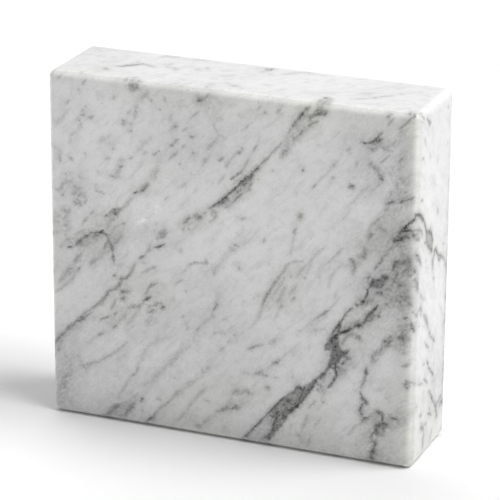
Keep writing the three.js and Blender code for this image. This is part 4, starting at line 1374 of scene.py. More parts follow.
# Soft grey washes: how dark each is, how far its edge fades, then its outline.
FRONT_WASHES = (
    # broad ones: the foot of the face and its lower left, painted shade where the floor and its shadow
    # darken the face; then its right side and the upper middle
    (0.10, 6.0, (-96, -5), (96, -5), (96, 9), (-96, 9)),
    (0.09, 5.0, (-96, 0), (-82, 0), (-80, 20), (-78, 46), (-96, 50)),
    (0.045, 6.0, (-104, -6), (-50, -6), (-56, 34), (-104, 38)),
    (0.05, 8.0, (-104, -8), (104, -8), (104, 60), (20, 56), (-20, 84), (-60, 112), (-104, 112)),
    (0.05, 5.0, (8, 0), (62, 0), (58, 22), (48, 30), (30, 24), (12, 14)),
    (0.14, 5.0, (70, 0), (88, 0), (90, 20), (94, 36), (80, 34), (70, 20)),
    (0.185, 9.0, (66, 82), (91, 82), (91, 122), (84, 122), (72, 108)),
    (0.07, 3.0, (85, 24), (91.5, 24), (91.5, 168), (86, 168)),
    (0.045, 3.0, (85, 104), (97, 104), (97, 184), (85, 184)),
    (0.1, 3.0, (86, 84), (97, 84), (97, 97), (86, 97)),
    (0.085, 6.0, (78, 122), (92, 122), (92, 180), (54, 180), (54, 158), (72, 146)),
    (0.085, 5.0, (-34, 140), (-6, 140), (0, 160), (-4, 182), (-40, 182)),
    (0.07, 4.0, (-62, 168), (-46, 168), (-42, 184), (-64, 184)),
    (0.05, 5.0, (56, 106), (84, 106), (84, 120), (56, 120)),
    (0.15, 5.0, (48, 36), (62, 44), (74, 60), (96, 62), (96, 80), (78, 80), (62, 74), (50, 62)),
    # round the arc on the left and the long vein below it
    (0.13, 4.0, (-96, 84), (-84, 86), (-75, 97), (-62, 102), (-52, 108), (-50, 102), (-60, 90),
     (-72, 82), (-96, 76)),
    (0.07, 4.0, (-64, 66), (-46, 68), (-30, 68), (-28, 76), (-46, 84), (-58, 74)),
    (0.08, 4.0, (-52, 44), (-30, 48), (-8, 56), (-10, 68), (-30, 64), (-50, 56)),
    (0.08, 2.0, (-96, 38), (-88, 45), (-80, 52), (-75, 56), (-72, 57), (-77, 49), (-84, 43), (-90, 37),
     (-96, 31)),
    (0.2, 1.5, (-68, 0), (-65, 5), (-62, 8.6), (-56, 11), (-52, 11), (-54, 5), (-56, 0)),
    (0.12, 2.0, (-72, 53), (-64, 58), (-60, 64), (-54, 61), (-57, 54), (-62, 49), (-67, 51)),
    (0.15, 2.0, (-62, 128), (-60, 131), (-59, 138), (-56, 141), (-54, 139), (-56, 134), (-57, 129)),
    (0.12, 2.0, (-63, 98), (-60, 104), (-56, 104), (-56, 98), (-59, 94), (-62, 93)),
    (0.1, 3.0, (-90, 122), (-80, 117), (-72, 124), (-76, 130), (-88, 130)),
    (0.06, 2.0, (19, 74), (27, 73), (35, 77), (39, 88), (40, 97), (34, 98), (27, 91), (22, 83)),
    (0.06, 2.0, (30, 157), (36, 160), (44, 168), (45, 173), (40, 173), (34, 166)),
    (0.1, 2.0, (43, 173), (50.5, 174.6), (51, 184), (46, 184)),
    # between and beside the strands on the right
    (0.22, 1.2, (59, 67.6), (64, 69.4), (69, 71), (72, 75), (74, 79), (72, 79), (70, 76), (66, 73.4),
     (61, 71.4)),
    (0.08, 2.0, (60, 72), (70, 77), (72, 82), (68, 81), (62, 76)),
    (0.22, 2.0, (69.5, 82), (73, 84), (76, 86), (80, 91), (76, 93), (73, 92), (75, 90), (71.5, 85.5)),
    (0.16, 3.0, (77, 83), (86, 83), (94, 85), (95, 94), (92, 98), (84, 99), (80, 93)),
    (0.24, 2.0, (84, 100), (92, 99), (95, 103), (94, 110), (88, 109), (84.5, 105)),
    (0.13, 3.0, (70, 108), (80, 108), (84, 114), (88, 126), (86, 133), (76, 129), (70, 118)),
    (0.13, 2.5, (78, 131), (86, 134), (94, 137), (94, 141), (86, 141), (79, 139)),
    (0.16, 1.5, (74, 25), (77, 28), (78, 26), (80, 23), (79, 20), (81, 17), (79, 16), (77, 18), (76, 21)),
    (0.2, 2.0, (88, 66.6), (90, 70.4), (94, 70), (95, 67.4), (92, 65.4), (89, 65)),
    (0.25, 1.5, (80.3, 62), (84, 63), (84.8, 67.5), (83, 69), (80.8, 66.5)),
)
RIGHT_WASHES = (
    (0.09, 5.0, (-30, -4), (30, -4), (30, 40), (-30, 34)),
    (0.05, 5.0, (-30, 30), (30, 36), (30, 66), (-30, 62)),
    (0.05, 4.0, (-14, 3), (16, 3), (14, 26), (-10, 28)),
    (0.06, 4.0, (6, 24), (28, 20), (28, 48), (4, 46)),
    (0.08, 3.0, (18, 12), (28, 12), (28, 32), (19, 30)),
)
TOP_WASHES = (
    # The first two darken the top towards its left end: painted shade, darker away from the light on the
    # right.
    (0.07, 8.0, (-102, -30), (-70, -30), (-66, 30), (-102, 30)),
    (0.035, 6.0, (-74, -30), (0, -30), (10, 30), (-72, 30)),
    (0.07, 2.5, (44, -30), (45, -20), (46, -16), (48, -18), (50, -22), (51, -30)),
)

# Faint olive tints: how strong each is, how far its edge fades, then its outline.
FRONT_TINTS = (
    # The first two, along the top edge and down the right edge, are a painted glow: the creamy colour of
    # light coming through the rounded edges.
    (0.35, 5.0, (-60, 172), (40, 168), (96, 166), (96, 184), (-60, 184)),
    (0.45, 5.0, (90, -6), (97, -6), (97, 186), (92, 186), (86, 110), (88, 60)),
    (0.35, 4.0, (28, 158), (44, 164), (52, 180), (38, 182)),
    (0.35, 3.0, (-2, 128), (12, 131), (18, 142), (24, 150), (20, 152), (8, 142)),
    (0.3, 2.5, (-47, 124), (-41, 123), (-35, 133), (-34, 141), (-40, 142), (-46, 132)),
    (0.34, 5.0, (-38, -4), (0, -4), (4, 16), (18, 26), (12, 32), (-14, 30), (-32, 18)),
    (0.3, 5.0, (20, -4), (60, -4), (56, 14), (48, 34), (28, 28)),
    (0.35, 5.0, (68, -4), (88, -4), (88, 34), (78, 34), (68, 18)),
    (0.25, 4.0, (-72, 52), (-52, 56), (-32, 66), (-32, 78), (-52, 84), (-62, 74)),
    (0.3, 4.0, (-82, 90), (-64, 92), (-56, 104), (-56, 116), (-68, 112), (-80, 98)),
    (0.35, 3.0, (17, 73), (34, 74), (40, 92), (34, 98), (24, 90)),
    (0.4, 3.0, (-28, 106), (-12, 111), (-5, 114), (-6, 121), (-16, 118), (-28, 112)),
    (0.25, 3.0, (58, 56), (72, 60), (80, 74), (76, 90), (64, 86), (60, 70)),
    (0.2, 4.0, (62, 96), (72, 100), (82, 118), (84, 132), (74, 126), (62, 106)),
    (0.5, 2.0, (34, 119), (38.6, 120), (38.6, 126), (34.6, 126)),
    (0.25, 3.0, (-98, 40), (-92, 42), (-90, 74), (-92, 108), (-98, 110)),
)
RIGHT_TINTS = (
    (0.4, 5.0, (-28, -4), (16, -4), (8, 24), (-2, 34), (-28, 40)),
    (0.35, 4.0, (-17, 112), (-6, 104), (2, 100), (4, 106), (-4, 117), (-14, 122)),
)
TOP_TINTS = (
    (0.35, 4.0, (-92, -27), (-60, -27), (-62, -16), (-74, -14), (-92, -18)),
)

# ---------------------------------------------------------------- from the front to the back

# Veins lie in sheets through the stone, so what meets one face goes on across the next. A mark of
# the front keeps to its sheet on its way to the back: it goes right and down, which together make
# up the block's depth, and the sheets bend a bit.
THROUGH_SHIFT = (22.0, -28.0)
THROUGH_BEND = 6.0       # how far they bend, and over what length
THROUGH_BEND_LENGTH = 45.0
UPWARD_BEND = Vector((0, 0, 9))    # where in the noise the bend up and down is read
TOP_EDGE = 170.0         # outlines on the front that go above this belong to its top edge alone
SHORT_LENGTH = 4.0       # of the marks shorter than this, only every other one comes through


def points_of(row):
    return [item for item in row if isinstance(item, tuple)]


def length_of(points):
    return sum(math.dist(start, end) for start, end in zip(points, points[1:]))


def carried_point(point):
    """Where the sheet through a point of the front comes out on the back."""
    spot = Vector((*point, 0)) / THROUGH_BEND_LENGTH
    bends = noise.noise(spot), noise.noise(spot + UPWARD_BEND)
    parts = zip(point, THROUGH_SHIFT, bends)
    return tuple(place + shift + THROUGH_BEND * bend for place, shift, bend in parts)


def carried_through(rows):
    """Rows of the front face where their sheets come out on the back."""
    carried = []
    for row in rows:
        sizes = [item for item in row if not isinstance(item, tuple)]
        carried.append((*sizes, *map(carried_point, points_of(row))))
    return carried


def worth_carrying(rows):
    """The longer marks, and every other one of the short ones."""
    worth = []
    for number, row in enumerate(rows):
        if number % 2 or length_of(points_of(row)) > SHORT_LENGTH:
            worth.append(row)
    return worth


# ---------------------------------------------------------------- small marks on the hidden faces

# The hidden faces: two opposite corners, and the way that the sheets run across them.
BACK_FACE = ((-96, 0), (96, 180), (1, 1))
LEFT_FACE = ((-25, 0), (25, 180), (1, -1))
UNDER_FACE = ((-96, -25), (96, 25), (1, 1))

CROWD_LENGTH = 22.0      # how far apart the crowds of small marks are
CROWD_EDGE = 0.5         # the noise at which a crowd is full, and the stone between is empty
SPECK_LEAN = 0.35        # how far, in radians, the marks turn from the sheets
SPECK_LEAST = 0.5        # the shortest of them
SPECK_LENGTH = 2.8       # and how much longer than that a speck is on average

# What can be strewn: average length over the least, range of half widths, range of darkness.
SPECKS = (SPECK_LENGTH, (0.5, 1.1), (0.1, 0.42))
SMUDGES = (3 * SPECK_LENGTH, (2.0, 5.0), (0.05, 0.15))


def strewn(low, high, run, count, seed, kind):
    """Specks or smudges strewn in loose crowds over a face, drawn out along its sheets."""
    length, half_widths, darknesses = kind
    random = np.random.default_rng(seed)
    low, high, run = Vector(low), Vector(high), Vector(run).normalized()
    spread = high - low
    rows = []
    while len(rows) < count:
        start = low + Vector((spread.x * random.random(), spread.y * random.random()))
        crowd = noise.noise(Vector((*start, seed * CROWD_LENGTH)) / CROWD_LENGTH)
        if crowd < random.uniform(-CROWD_EDGE, CROWD_EDGE):
            continue
        lean = Matrix.Rotation(random.normal(0, SPECK_LEAN), 2)
        step = lean @ run * (SPECK_LEAST + random.exponential(length))
        half_width = random.uniform(*half_widths)
        darkness = random.uniform(*darknesses)
        rows.append((half_width, darkness, tuple(start), tuple(start + step)))
    return rows


# Each face's marks. A mark's place in this order seeds the noise along it.
FACE_MARKS = (
    (front, FRONT_MARKS),
    (front, FRONT_CLOUDS),
    (right, RIGHT_MARKS),
    (right, RIGHT_CLOUDS),
    (top, TOP_MARKS),
    (top, TOP_CLOUDS),
    (back, carried_through(worth_carrying(FRONT_MARKS))),
    (back, carried_through(FRONT_CLOUDS)),
    (back, BACK_MARKS),
    (left, LEFT_MARKS),
    (under, UNDER_MARKS),
    (back, strewn(*BACK_FACE, count=150, seed=1, kind=SPECKS)),
    (left, strewn(*LEFT_FACE, count=110, seed=2, kind=SPECKS)),
    (under, strewn(*UNDER_FACE, count=90, seed=3, kind=SPECKS)),
    (back, strewn(*BACK_FACE, count=30, seed=4, kind=SMUDGES)),
    (left, strewn(*LEFT_FACE, count=36, seed=5, kind=SMUDGES)),
    (under, strewn(*UNDER_FACE, count=30, seed=6, kind=SMUDGES)),
)

# ---------------------------------------------------------------- marks laid on the mesh

CURVE_STEP = 0.5         # how closely curves are sampled
WIGGLE = 0.35            # how far a vein strays sideways from its drawn curve
WIGGLE_LENGTH = 4.0
CLOUD_WIDTH = 1.5        # marks at least this wide are soft clouds, and so are the white ones
WIDTH_SWING = 0.25       # how much a mark's width varies along it
DARK_SWING = 0.2         # and its darkness
SWING_LENGTH = 5.0
TAPER = 4.0              # how far from its ends a mark thins out
TAPER_SHARE = 0.4        # though over no more than this share of its length
TAPER_POWER = 0.7        # how bluntly
END_WIDTH = 0.7          # the share of its width that is left at the ends
END_DARKNESS = 0.6       # and of its darkness
SHORT_MARK = 3.0         # marks shorter than this are thinner and paler all along instead
SHORT_TAPER = 0.82
SPOT_RUN = (0.3, 0.5, 0.8)    # a spot has no run of its own: crossed with the normal, this gives one


def smooth_run(points):
    """A Catmull-Rom curve through the points, sampled about every CURVE_STEP."""
    knots = np.array(points, float)
    if len(knots) == 1:
        return knots
    padded = np.vstack([2 * knots[0] - knots[1], knots, 2 * knots[-1] - knots[-2]])
    runs = [knots[:1]]
    for number in range(1, len(padded) - 2):
        before, start, end, after = padded[number - 1:number + 3]
        count = max(1, math.ceil(np.linalg.norm(end - start) / CURVE_STEP))
        share = (np.arange(count) + 1)[:, None] / count
        slope = end - before
        bend = 2 * before - 5 * start + 4 * end - after
        twist = 3 * start - before - 3 * end + after
        runs.append(0.5 * (2 * start + slope * share + bend * share**2 + twist * share**3))
    return np.vstack(runs)


def unit(vectors):
    return vectors / np.linalg.norm(vectors, axis=1, keepdims=True)


def on_surface(points):
    """Where points given on the flat faces lie on the rounded block, with the outward normals there."""
    middle = np.array((0, 0, HEIGHT / 2))
    reach = np.array((WIDTH, DEPTH, HEIGHT)) / 2 - EDGE_RADIUS
    core = np.clip(points - middle, -reach, reach)
    normal = unit(points - middle - core)
    return middle + core + EDGE_RADIUS * normal, normal


def near_box(places, points, margin):
    """The vertices inside the box round some points, with a margin."""
    low, high = points.min(0) - margin, points.max(0) + margin
    return np.flatnonzero(((places > low) & (places < high)).all(1))


class Mark:
    """A mark laid on the stone: its path, and how wide and dark it is along the way."""

    def __init__(self, place_on, row, seed):
        width, darkness, *points = row
        self.path, normal = on_surface(smooth_run(place_on(points)))
        spot = len(self.path) == 1
        self.along = unit(np.cross(normal, SPOT_RUN) if spot else np.gradient(self.path, axis=0))
        self.side = np.cross(normal, self.along)
        if not spot:
            stray = WIGGLE * field(self.path, WIGGLE_LENGTH, seed)
            self.path = self.path + self.side * stray[:, None]
        swing = field(self.path, SWING_LENGTH, seed + 1), field(self.path, SWING_LENGTH, seed + 2)
        self.width = width * (1 + WIDTH_SWING * swing[0]) * self.taper(END_WIDTH)
        self.darkness = darkness * (1 + DARK_SWING * swing[1]) * self.taper(END_DARKNESS)
        self.reach = width
        self.soft = width >= CLOUD_WIDTH or darkness < 0

    def taper(self, least):
        """1 along the middle of a long mark, falling to least at its ends; SHORT_TAPER on short ones."""
        count = len(self.path)
        length = count * CURVE_STEP
        if length < SHORT_MARK:
            return SHORT_TAPER
        from_end = np.minimum(np.arange(count), np.arange(count)[::-1]) * CURVE_STEP
        inward = np.clip(from_end / min(TAPER, TAPER_SHARE * length), 0, 1)
        return least + (1 - least) * inward**TAPER_POWER

    def measure(self, places, limit):
        """Vertices within limit, and their distance past the ends and across, width and darkness."""
        near = near_box(places, self.path, limit)
        step = places[near][:, None] - self.path[None]
        nearest = (step**2).sum(2).argmin(1)
        offset = step[np.arange(len(near)), nearest]
        across = (offset * self.side[nearest]).sum(1)
        along = (offset * self.along[nearest]).sum(1)
        inner = (nearest > 0) & (nearest < len(self.path) - 1)
        along[inner] = 0
        if len(self.path) > 1:
            inward = np.where(nearest == 0, along > 0, along < 0)
            along[inward] = 0
        keep = np.hypot(along, across) < limit
        nearest = nearest[keep]
        return near[keep], along[keep], across[keep], self.width[nearest], self.darkness[nearest]


def all_marks():
    rows = [(place_on, row) for place_on, face_rows in FACE_MARKS for row in face_rows]
    return [Mark(place_on, row, seed) for seed, (place_on, row) in enumerate(rows)]


def fade(value, start, end):
    """1 below start, 0 above end, smooth between."""
    share = np.clip((value - start) / (end - start), 0, 1)
    return 1 - share * share * (3 - 2 * share)


FULL_TO = 2.2            # a mark is whole out to this many half widths
GONE_BY = 3.2            # and gone at this many, plus a grid cell
WIDEST = 1.3             # no mark is more than this times as wide as its row says
RING = 1.5 * CELL        # vertices this much further out still hold its coordinates
FAR_OFF = 9.0            # what vertices with no mark hold


def pack_marks(marks, places):
    """Share the marks among few vertex vectors that keep them apart: past the ends, across, darkness."""
    groups = []
    for mark in sorted(marks, key=lambda mark: -mark.reach * len(mark.path)):
        gone = GONE_BY * mark.reach * WIDEST + CELL
        index, along, across, width, darkness = mark.measure(places, gone + RING)
        if not len(index):
            continue
        shown = darkness * fade(np.hypot(along, across), FULL_TO * width, GONE_BY * width + CELL)
        live = index[shown > 0]
        for group in groups:
            if not group["ring"][live].any() and not group["live"][index].any():
                break
        else:
            group = {"ring": np.zeros(len(places), bool), "live": np.zeros(len(places), bool),
                     "value": np.tile((FAR_OFF, FAR_OFF, 0.0), (len(places), 1))}
            groups.append(group)
        group["ring"][index] = True
        group["live"][live] = True
        group["value"][index] = np.stack([along / width, across / width, shown], 1)
    return [group["value"] for group in groups]


CLOUD_REACH = 3.0        # how many half widths out a cloud is worked out
HALO = 0.20              # how much grey a mark leaves in the stone round it
HALO_LEAST = 1.2         # how far that spreads round the thinnest mark
HALO_GROWTH = 1.5        # and how much further for each half width
HALO_REACH = 2.6         # how many spreads out it is worked out
HALO_FULL = 0.4          # stone as grey as this takes no more of it


def cloud_field(clouds, marks, places):
    """Soft grey at every vertex: the wide marks, and the faint halo of the others."""
    total = np.zeros(len(places))
    for mark in clouds:
        index, along, across, width, darkness = mark.measure(places, CLOUD_REACH * mark.reach)
        total[index] += darkness * np.exp(-(along**2 + across**2) / width**2)
    for mark in marks:
        spread = HALO_LEAST + HALO_GROWTH * mark.reach
        index, along, across, _, darkness = mark.measure(places, HALO_REACH * spread)
        halo = HALO * darkness * np.exp(-(along**2 + across**2) / spread**2)
        total[index] = total[index] + halo * (1 - np.clip(total[index] / HALO_FULL, 0, 1))
    return total


AREA_MARGIN = 6.0        # how far outside its outline a patch or wash is worked out
DEEP_ENOUGH = 3.0        # how deep inside its outline a patch counts as being, at most


def inside_distance(outline, places):
    """The vertices near an outline on one face, how far each lies inside it, and how far off the face."""
    corners = np.array(outline, float)
    flat_axis = int(np.ptp(corners, axis=0).argmin())
    across, up = [axis for axis in range(3) if axis != flat_axis]
    near = near_box(places, corners, AREA_MARGIN)
    spot = places[near][:, None, (across, up)]
    start = corners[None][:, :, (across, up)]
    end = np.roll(start, -1, axis=1)
    edge = end - start
    share = np.clip(((spot - start) * edge).sum(2) / (edge**2).sum(2), 0, 1)
    distance = np.linalg.norm(spot - start - share[..., None] * edge, axis=2).min(1)
    # A vertex is inside where a line from it, out along the face, cuts an odd number of edges.
    crossing = (start[..., 1] > spot[..., 1]) != (end[..., 1] > spot[..., 1])
    rise = np.where(edge[..., 1] == 0, 1, edge[..., 1])
    cut = start[..., 0] + (spot[..., 1] - start[..., 1]) / rise * edge[..., 0]
    odd = (crossing & (spot[..., 0] < cut)).sum(1) % 2 == 1
    off_face = np.abs(places[near, flat_axis] - corners[0, flat_axis])
    return near, np.where(odd, distance, -distance), off_face


def area_field(areas, places):
    """How far every vertex lies inside the nearest ragged patch, and that patch's darkness."""
    inside = np.full(len(places), -AREA_MARGIN)
    dark = np.zeros(len(places))
    for place_on, (darkness, *outline) in areas:
        near, depth, off_face = inside_distance(place_on(outline), places)
        depth = np.minimum(depth, DEEP_ENOUGH) - off_face
        better = depth > inside[near]
        inside[near[better]] = depth[better]
        dark[near[better]] = darkness
    return inside, dark


def wash_field(washes, places):
    """Soft grey at every vertex from the washes."""
    total = np.zeros(len(places))
    for place_on, (darkness, softness, *outline) in washes:
        near, depth, off_face = inside_distance(place_on(outline), places)
        total[near] += darkness * fade(-depth, -softness, softness) * fade(off_face, 0, AREA_MARGIN)
    return total

# ---------------------------------------------------------------- the block, with its marks


def store(mesh, name, kind, values):
    """Keep a number or a vector for each vertex, for the material to read."""
    held = mesh.attributes.new(name, kind, "POINT")
    held.data.foreach_set("value" if kind == "FLOAT" else "vector", values.astype(np.float32).ravel())


def on_faces(front_rows, right_rows, top_rows):
    """Rows of outlines with their faces. The front's go on the back too, but for those at its top edge."""
    inner = [row for row in front_rows if all(z < TOP_EDGE for x, z in points_of(row))]
    faces = (
        (front, front_rows),
        (right, right_rows),
        (top, top_rows),
        (back, carried_through(inner)),
    )
    return [(place_on, row) for place_on, rows in faces for row in rows]


PAINTED_EDGE_HIGHLIGHT = 0.18        # how much whiter the rounded edges are painted than the faces: a painted highlight

mesh, places, normals = block_mesh()
marks = all_marks()
clouds = [mark for mark in marks if mark.soft]
lines = [mark for mark in marks if not mark.soft]
packed = pack_marks(lines, places)
for number, value in enumerate(packed):
    store(mesh, f"marks_{number}", "FLOAT_VECTOR", value)
store(mesh, "clouds", "FLOAT", cloud_field(clouds, lines, places))

washes = on_faces(FRONT_WASHES, RIGHT_WASHES, TOP_WASHES)
areas = on_faces(FRONT_AREAS, RIGHT_AREAS, ())
tints = on_faces(FRONT_TINTS, RIGHT_TINTS, TOP_TINTS)
# The washes take light away. Along the rounded edges a painted highlight gives it back, so the edges are
# painted whiter.
store(mesh, "washes", "FLOAT", wash_field(washes, places) - PAINTED_EDGE_HIGHLIGHT * roundness(normals))
area_inside, area_dark = area_field(areas, places)
area_olive = wash_field(tints, places)
store(mesh, "areas", "FLOAT_VECTOR", np.stack([area_inside, area_dark, area_olive], 1))

block = bpy.data.objects.new("marble_block_stone", mesh)
bpy.context.scene.collection.objects.link(block)

# ---------------------------------------------------------------- the material

material = bpy.data.materials.new("white_marble")
material.use_nodes = True
stone_tree = material.node_tree
shader = stone_tree.nodes["Principled BSDF"]


class Value:
    """A number in a node tree. Arithmetic on it adds math nodes."""

    def __init__(self, socket):
        self.socket = socket

    def __add__(self, other):
        return math_node("ADD", self, other)

    def __sub__(self, other):
        return math_node("SUBTRACT", self, other)

    def __rsub__(self, other):
        return math_node("SUBTRACT", other, self)

    def __mul__(self, other):
        return math_node("MULTIPLY", self, other)

    def __truediv__(self, other):
        return math_node("DIVIDE", self, other)

    __radd__ = __add__
    __rmul__ = __mul__


def plug(socket, value):
    if isinstance(value, Value):
        socket.id_data.links.new(value.socket, socket)
    else:
        socket.default_value = value


def math_node(operation, *values, clamp=False, tree=stone_tree):
    node = tree.nodes.new("ShaderNodeMath")
    node.operation = operation
    node.use_clamp = clamp
    for socket, value in zip(node.inputs, values):
        plug(socket, value)
    return Value(node.outputs[0])


def vector(x, y, z):
    node = stone_tree.nodes.new("ShaderNodeCombineXYZ")
    for socket, value in zip(node.inputs, (x, y, z)):
        plug(socket, value)
    return Value(node.outputs[0])


def parts_of(value, tree=stone_tree):
    node = tree.nodes.new("ShaderNodeSeparateXYZ")
    plug(node.inputs[0], value)
    return [Value(socket) for socket in node.outputs]


def dot(value, direction):
    node = stone_tree.nodes.new("ShaderNodeVectorMath")
    node.operation = "DOT_PRODUCT"
    plug(node.inputs[0], value)
    node.inputs[1].default_value = direction
    return Value(node.outputs["Value"])


def attribute(name, output):
    node = stone_tree.nodes.new("ShaderNodeAttribute")
    node.attribute_name = name
    return Value(node.outputs[output])


NOISE_ROUGHNESS = 0.55


def noise_node(place, detail):
    node = stone_tree.nodes.new("ShaderNodeTexNoise")
    plug(node.inputs["Vector"], place)
    node.inputs["Scale"].default_value = 1.0
    node.inputs["Detail"].default_value = detail
    node.inputs["Roughness"].default_value = NOISE_ROUGHNESS
    return node


def ramp(value, low, high):
    """0 below low, 1 above high, smooth between."""
    node = stone_tree.nodes.new("ShaderNodeMapRange")
    node.interpolation_type = "SMOOTHSTEP"
    plug(node.inputs["Value"], value)
    plug(node.inputs["From Min"], low)
    plug(node.inputs["From Max"], high)
    return Value(node.outputs["Result"])


# The sheets' own directions: two along them, and the one across.
ALONG = Vector((1, 0, 1)).normalized()
ACROSS = Vector((-1, 1, 1)).normalized()
ALONG_TOO = ACROSS.cross(ALONG)

BEND = 3.0               # how far the sheets wave, and over what length
BEND_LENGTH = 28.0

coordinates = stone_tree.nodes.new("ShaderNodeTexCoord")
spot = [axis / MM for axis in parts_of(Value(coordinates.outputs["Object"]))]
bend = noise_node(vector(*[axis / BEND_LENGTH for axis in spot]), detail=1.0)
bends = parts_of(Value(bend.outputs["Color"]))
bent = vector(*[axis + 2 * BEND * (shift - 0.5) for axis, shift in zip(spot, bends)])
sheet = [dot(bent, tuple(direction)) for direction in (ALONG, ALONG_TOO, ACROSS)]


def sheet_noise(across, along, seed=0.0, detail=2.0):
    """Noise from about -1 to 1 drawn out along the sheets, with its sizes across and along them."""
    place = vector(sheet[0] / along + seed, sheet[1] / along, sheet[2] / across)
    return 2 * Value(noise_node(place, detail).outputs["Fac"]) - 1


def even_noise(size, seed=0.0, detail=2.0):
    """Noise from about -1 to 1, the same size in every direction."""
    place = vector(spot[0] / size + seed, spot[1] / size, spot[2] / size)
    return 2 * Value(noise_node(place, detail).outputs["Fac"]) - 1


def noise_layer(kind, sizes, low, high):
    """A layer of noise, 0 where the noise is below low and 1 where it is above high."""
    return ramp(kind(*sizes), low, high)


# Noise is written below as its size, or its sizes across and along the sheets, then its seed and
# detail. A layer is written as the kind of noise, the noise, and where it begins and is full.
MARK_STRAY = 0.8         # how far fine noise moves the marks, in half widths
STRAY_ALONG = (1.3, 3.1, 1.0)
STRAY_ACROSS = (1.4, 7.7, 1.0)
MARK_GRAINS = (0.9, 12.5, 2.0)
GRAIN_MOST = 1.3         # how strongly those grains break up a faint mark
GRAIN_LOSS = 0.4         # and how much less strongly a black one
GRAIN_LEAST = 0.2        # the share of a mark that is left between grains
# A mark is a core and a wider skirt: the strength of each, and how fast it falls off.
CORE, CORE_FALL = 0.92, 1.3
SKIRT, SKIRT_FALL = 0.36, 0.4


def marks_shade():
    """How much light the drawn marks leave, from 0 to 1."""
    stray_along = MARK_STRAY * even_noise(*STRAY_ALONG)
    stray_across = MARK_STRAY * even_noise(*STRAY_ACROSS)
    grains = even_noise(*MARK_GRAINS)
    left = 1.0
    for number in range(len(packed)):
        along, across, dark = parts_of(attribute(f"marks_{number}", "Vector"))
        along = along + stray_along
        across = across + stray_across
        square = along * along + across * across
        core = math_node("EXPONENT", -CORE_FALL * square)
        skirt = math_node("EXPONENT", -SKIRT_FALL * square)
        texture = math_node("MAXIMUM", 1 + (GRAIN_MOST - GRAIN_LOSS * dark) * grains, GRAIN_LEAST)
        mask = math_node("MULTIPLY", dark * texture, CORE * core + SKIRT * skirt, clamp=True)
        left = (1 - mask) * left
    return left


RAGGED = 1.3             # how far the outlines of patches stray, in millimetres
RAGGED_NOISE = (3.0, 21.0, 3.0)
AREA_EDGE = 0.8          # how far in and out their edges fade
AREA_MOTTLE = (sheet_noise, (1.2, 2.4, 31.0, 3.0), -0.3, 0.3)
AREA_FLECKS = (even_noise, (0.75, 41.0, 0.0), 0.25, 0.5)
AREA_MEAN = 0.94         # how much of its darkness a patch has where nothing mottles it
MOTTLE = 0.9             # how strongly the mottling works on a faint patch; a black one has none
FLECK_MOST = 1.3         # and how strongly the flecks do
FLECK_LOSS = 1.2         # and how much less strongly on a black one


def areas_shade():
    """How much light the ragged grey patches leave."""
    inside, dark, _ = parts_of(attribute("areas", "Vector"))
    ragged = inside + RAGGED * even_noise(*RAGGED_NOISE)
    mottled = (MOTTLE - MOTTLE * dark) * (noise_layer(*AREA_MOTTLE) - 0.5)
    flecked = (FLECK_MOST - FLECK_LOSS * dark) * noise_layer(*AREA_FLECKS)
    return 1 - ramp(ragged, -AREA_EDGE, AREA_EDGE) * dark * (AREA_MEAN + mottled + flecked)


# What runs through all of the stone: the most light that each layer takes, and the layer.
STONE_LAYERS = (
    (0.06, (sheet_noise, (20.0, 60.0, 1.0), -0.4, 0.4)),        # broad tone
    (0.10, (sheet_noise, (5.0, 9.0, 15.0, 3.0), -0.1, 0.5)),    # smudges
    (0.08, (even_noise, (4.0, 91.0, 3.0), 0.0, 0.5)),           # blotches
    (0.10, (sheet_noise, (3.0, 14.0, 2.0), 0.05, 0.5)),         # streaks
    (0.09, (sheet_noise, (1.4, 7.0, 5.0), 0.15, 0.5)),          # threads
)
SPECK_DARKNESS = 0.28
SPECK_CROWDS = (even_noise, (16.0, 61.0), -0.3, 0.4)
SPECK_SPOTS = (sheet_noise, (1.6, 2.4, 71.0, 2.0), 0.25, 0.6)
GRAIN_DARKNESS = 0.12
GRAIN_NOISE = (1.0, 81.0, 3.0)
SOFT_MOTTLE = (1.1, 2.0, 50.0, 3.0)     # what breaks up the soft greys
CLOUD_MOTTLE = 1.6                      # and how strongly, in clouds and in washes
WASH_MOTTLE = 0.8


def stone_shade():
    """Light left by tone, streaks, specks, grain, soft greys, and the painted shade and highlight of the
    washes.
    """
    mottle = sheet_noise(*SOFT_MOTTLE)
    cloud = attribute("clouds", "Fac") * math_node("MAXIMUM", 1 + CLOUD_MOTTLE * mottle, 0.0)
    wash = attribute("washes", "Fac") * math_node("MAXIMUM", 1 + WASH_MOTTLE * mottle, 0.0)
    specks = noise_layer(*SPECK_CROWDS) * noise_layer(*SPECK_SPOTS)
    light = 1.0
    for darkness, layer in STONE_LAYERS:
        light = (1 - darkness * noise_layer(*layer)) * light
    light = light * (1 - SPECK_DARKNESS * specks) * (1 - GRAIN_DARKNESS * even_noise(*GRAIN_NOISE))
    return light * (1 - cloud) * (1 - wash)


WHITE = 0.835            # reflectance of the clean stone
VEIN = 0.030             # and of the darkest vein
TINTS = (0.02, 0.0, 0.10)    # how much of each colour a full olive tint takes away

shade = stone_shade() * areas_shade() * marks_shade()
olive = parts_of(attribute("areas", "Vector"))[2]
stone_colour = stone_tree.nodes.new("ShaderNodeCombineColor")
grey = VEIN + shade * (WHITE - VEIN)
for socket, tint in zip(stone_colour.inputs, TINTS):
    plug(socket, grey * (1 - olive * tint))
plug(shader.inputs["Base Color"], Value(stone_colour.outputs["Color"]))

POLISH = 0.30            # roughness of the clean white stone
POLISH_WAVER = 0.06      # how much that varies, and over what size and seed
POLISH_NOISE = (9.0, 91.0)
VEIN_ROUGHNESS = 0.10    # how much rougher the veins are
roughness = POLISH + POLISH_WAVER * even_noise(*POLISH_NOISE) + VEIN_ROUGHNESS * (1 - shade)
plug(shader.inputs["Roughness"], roughness)

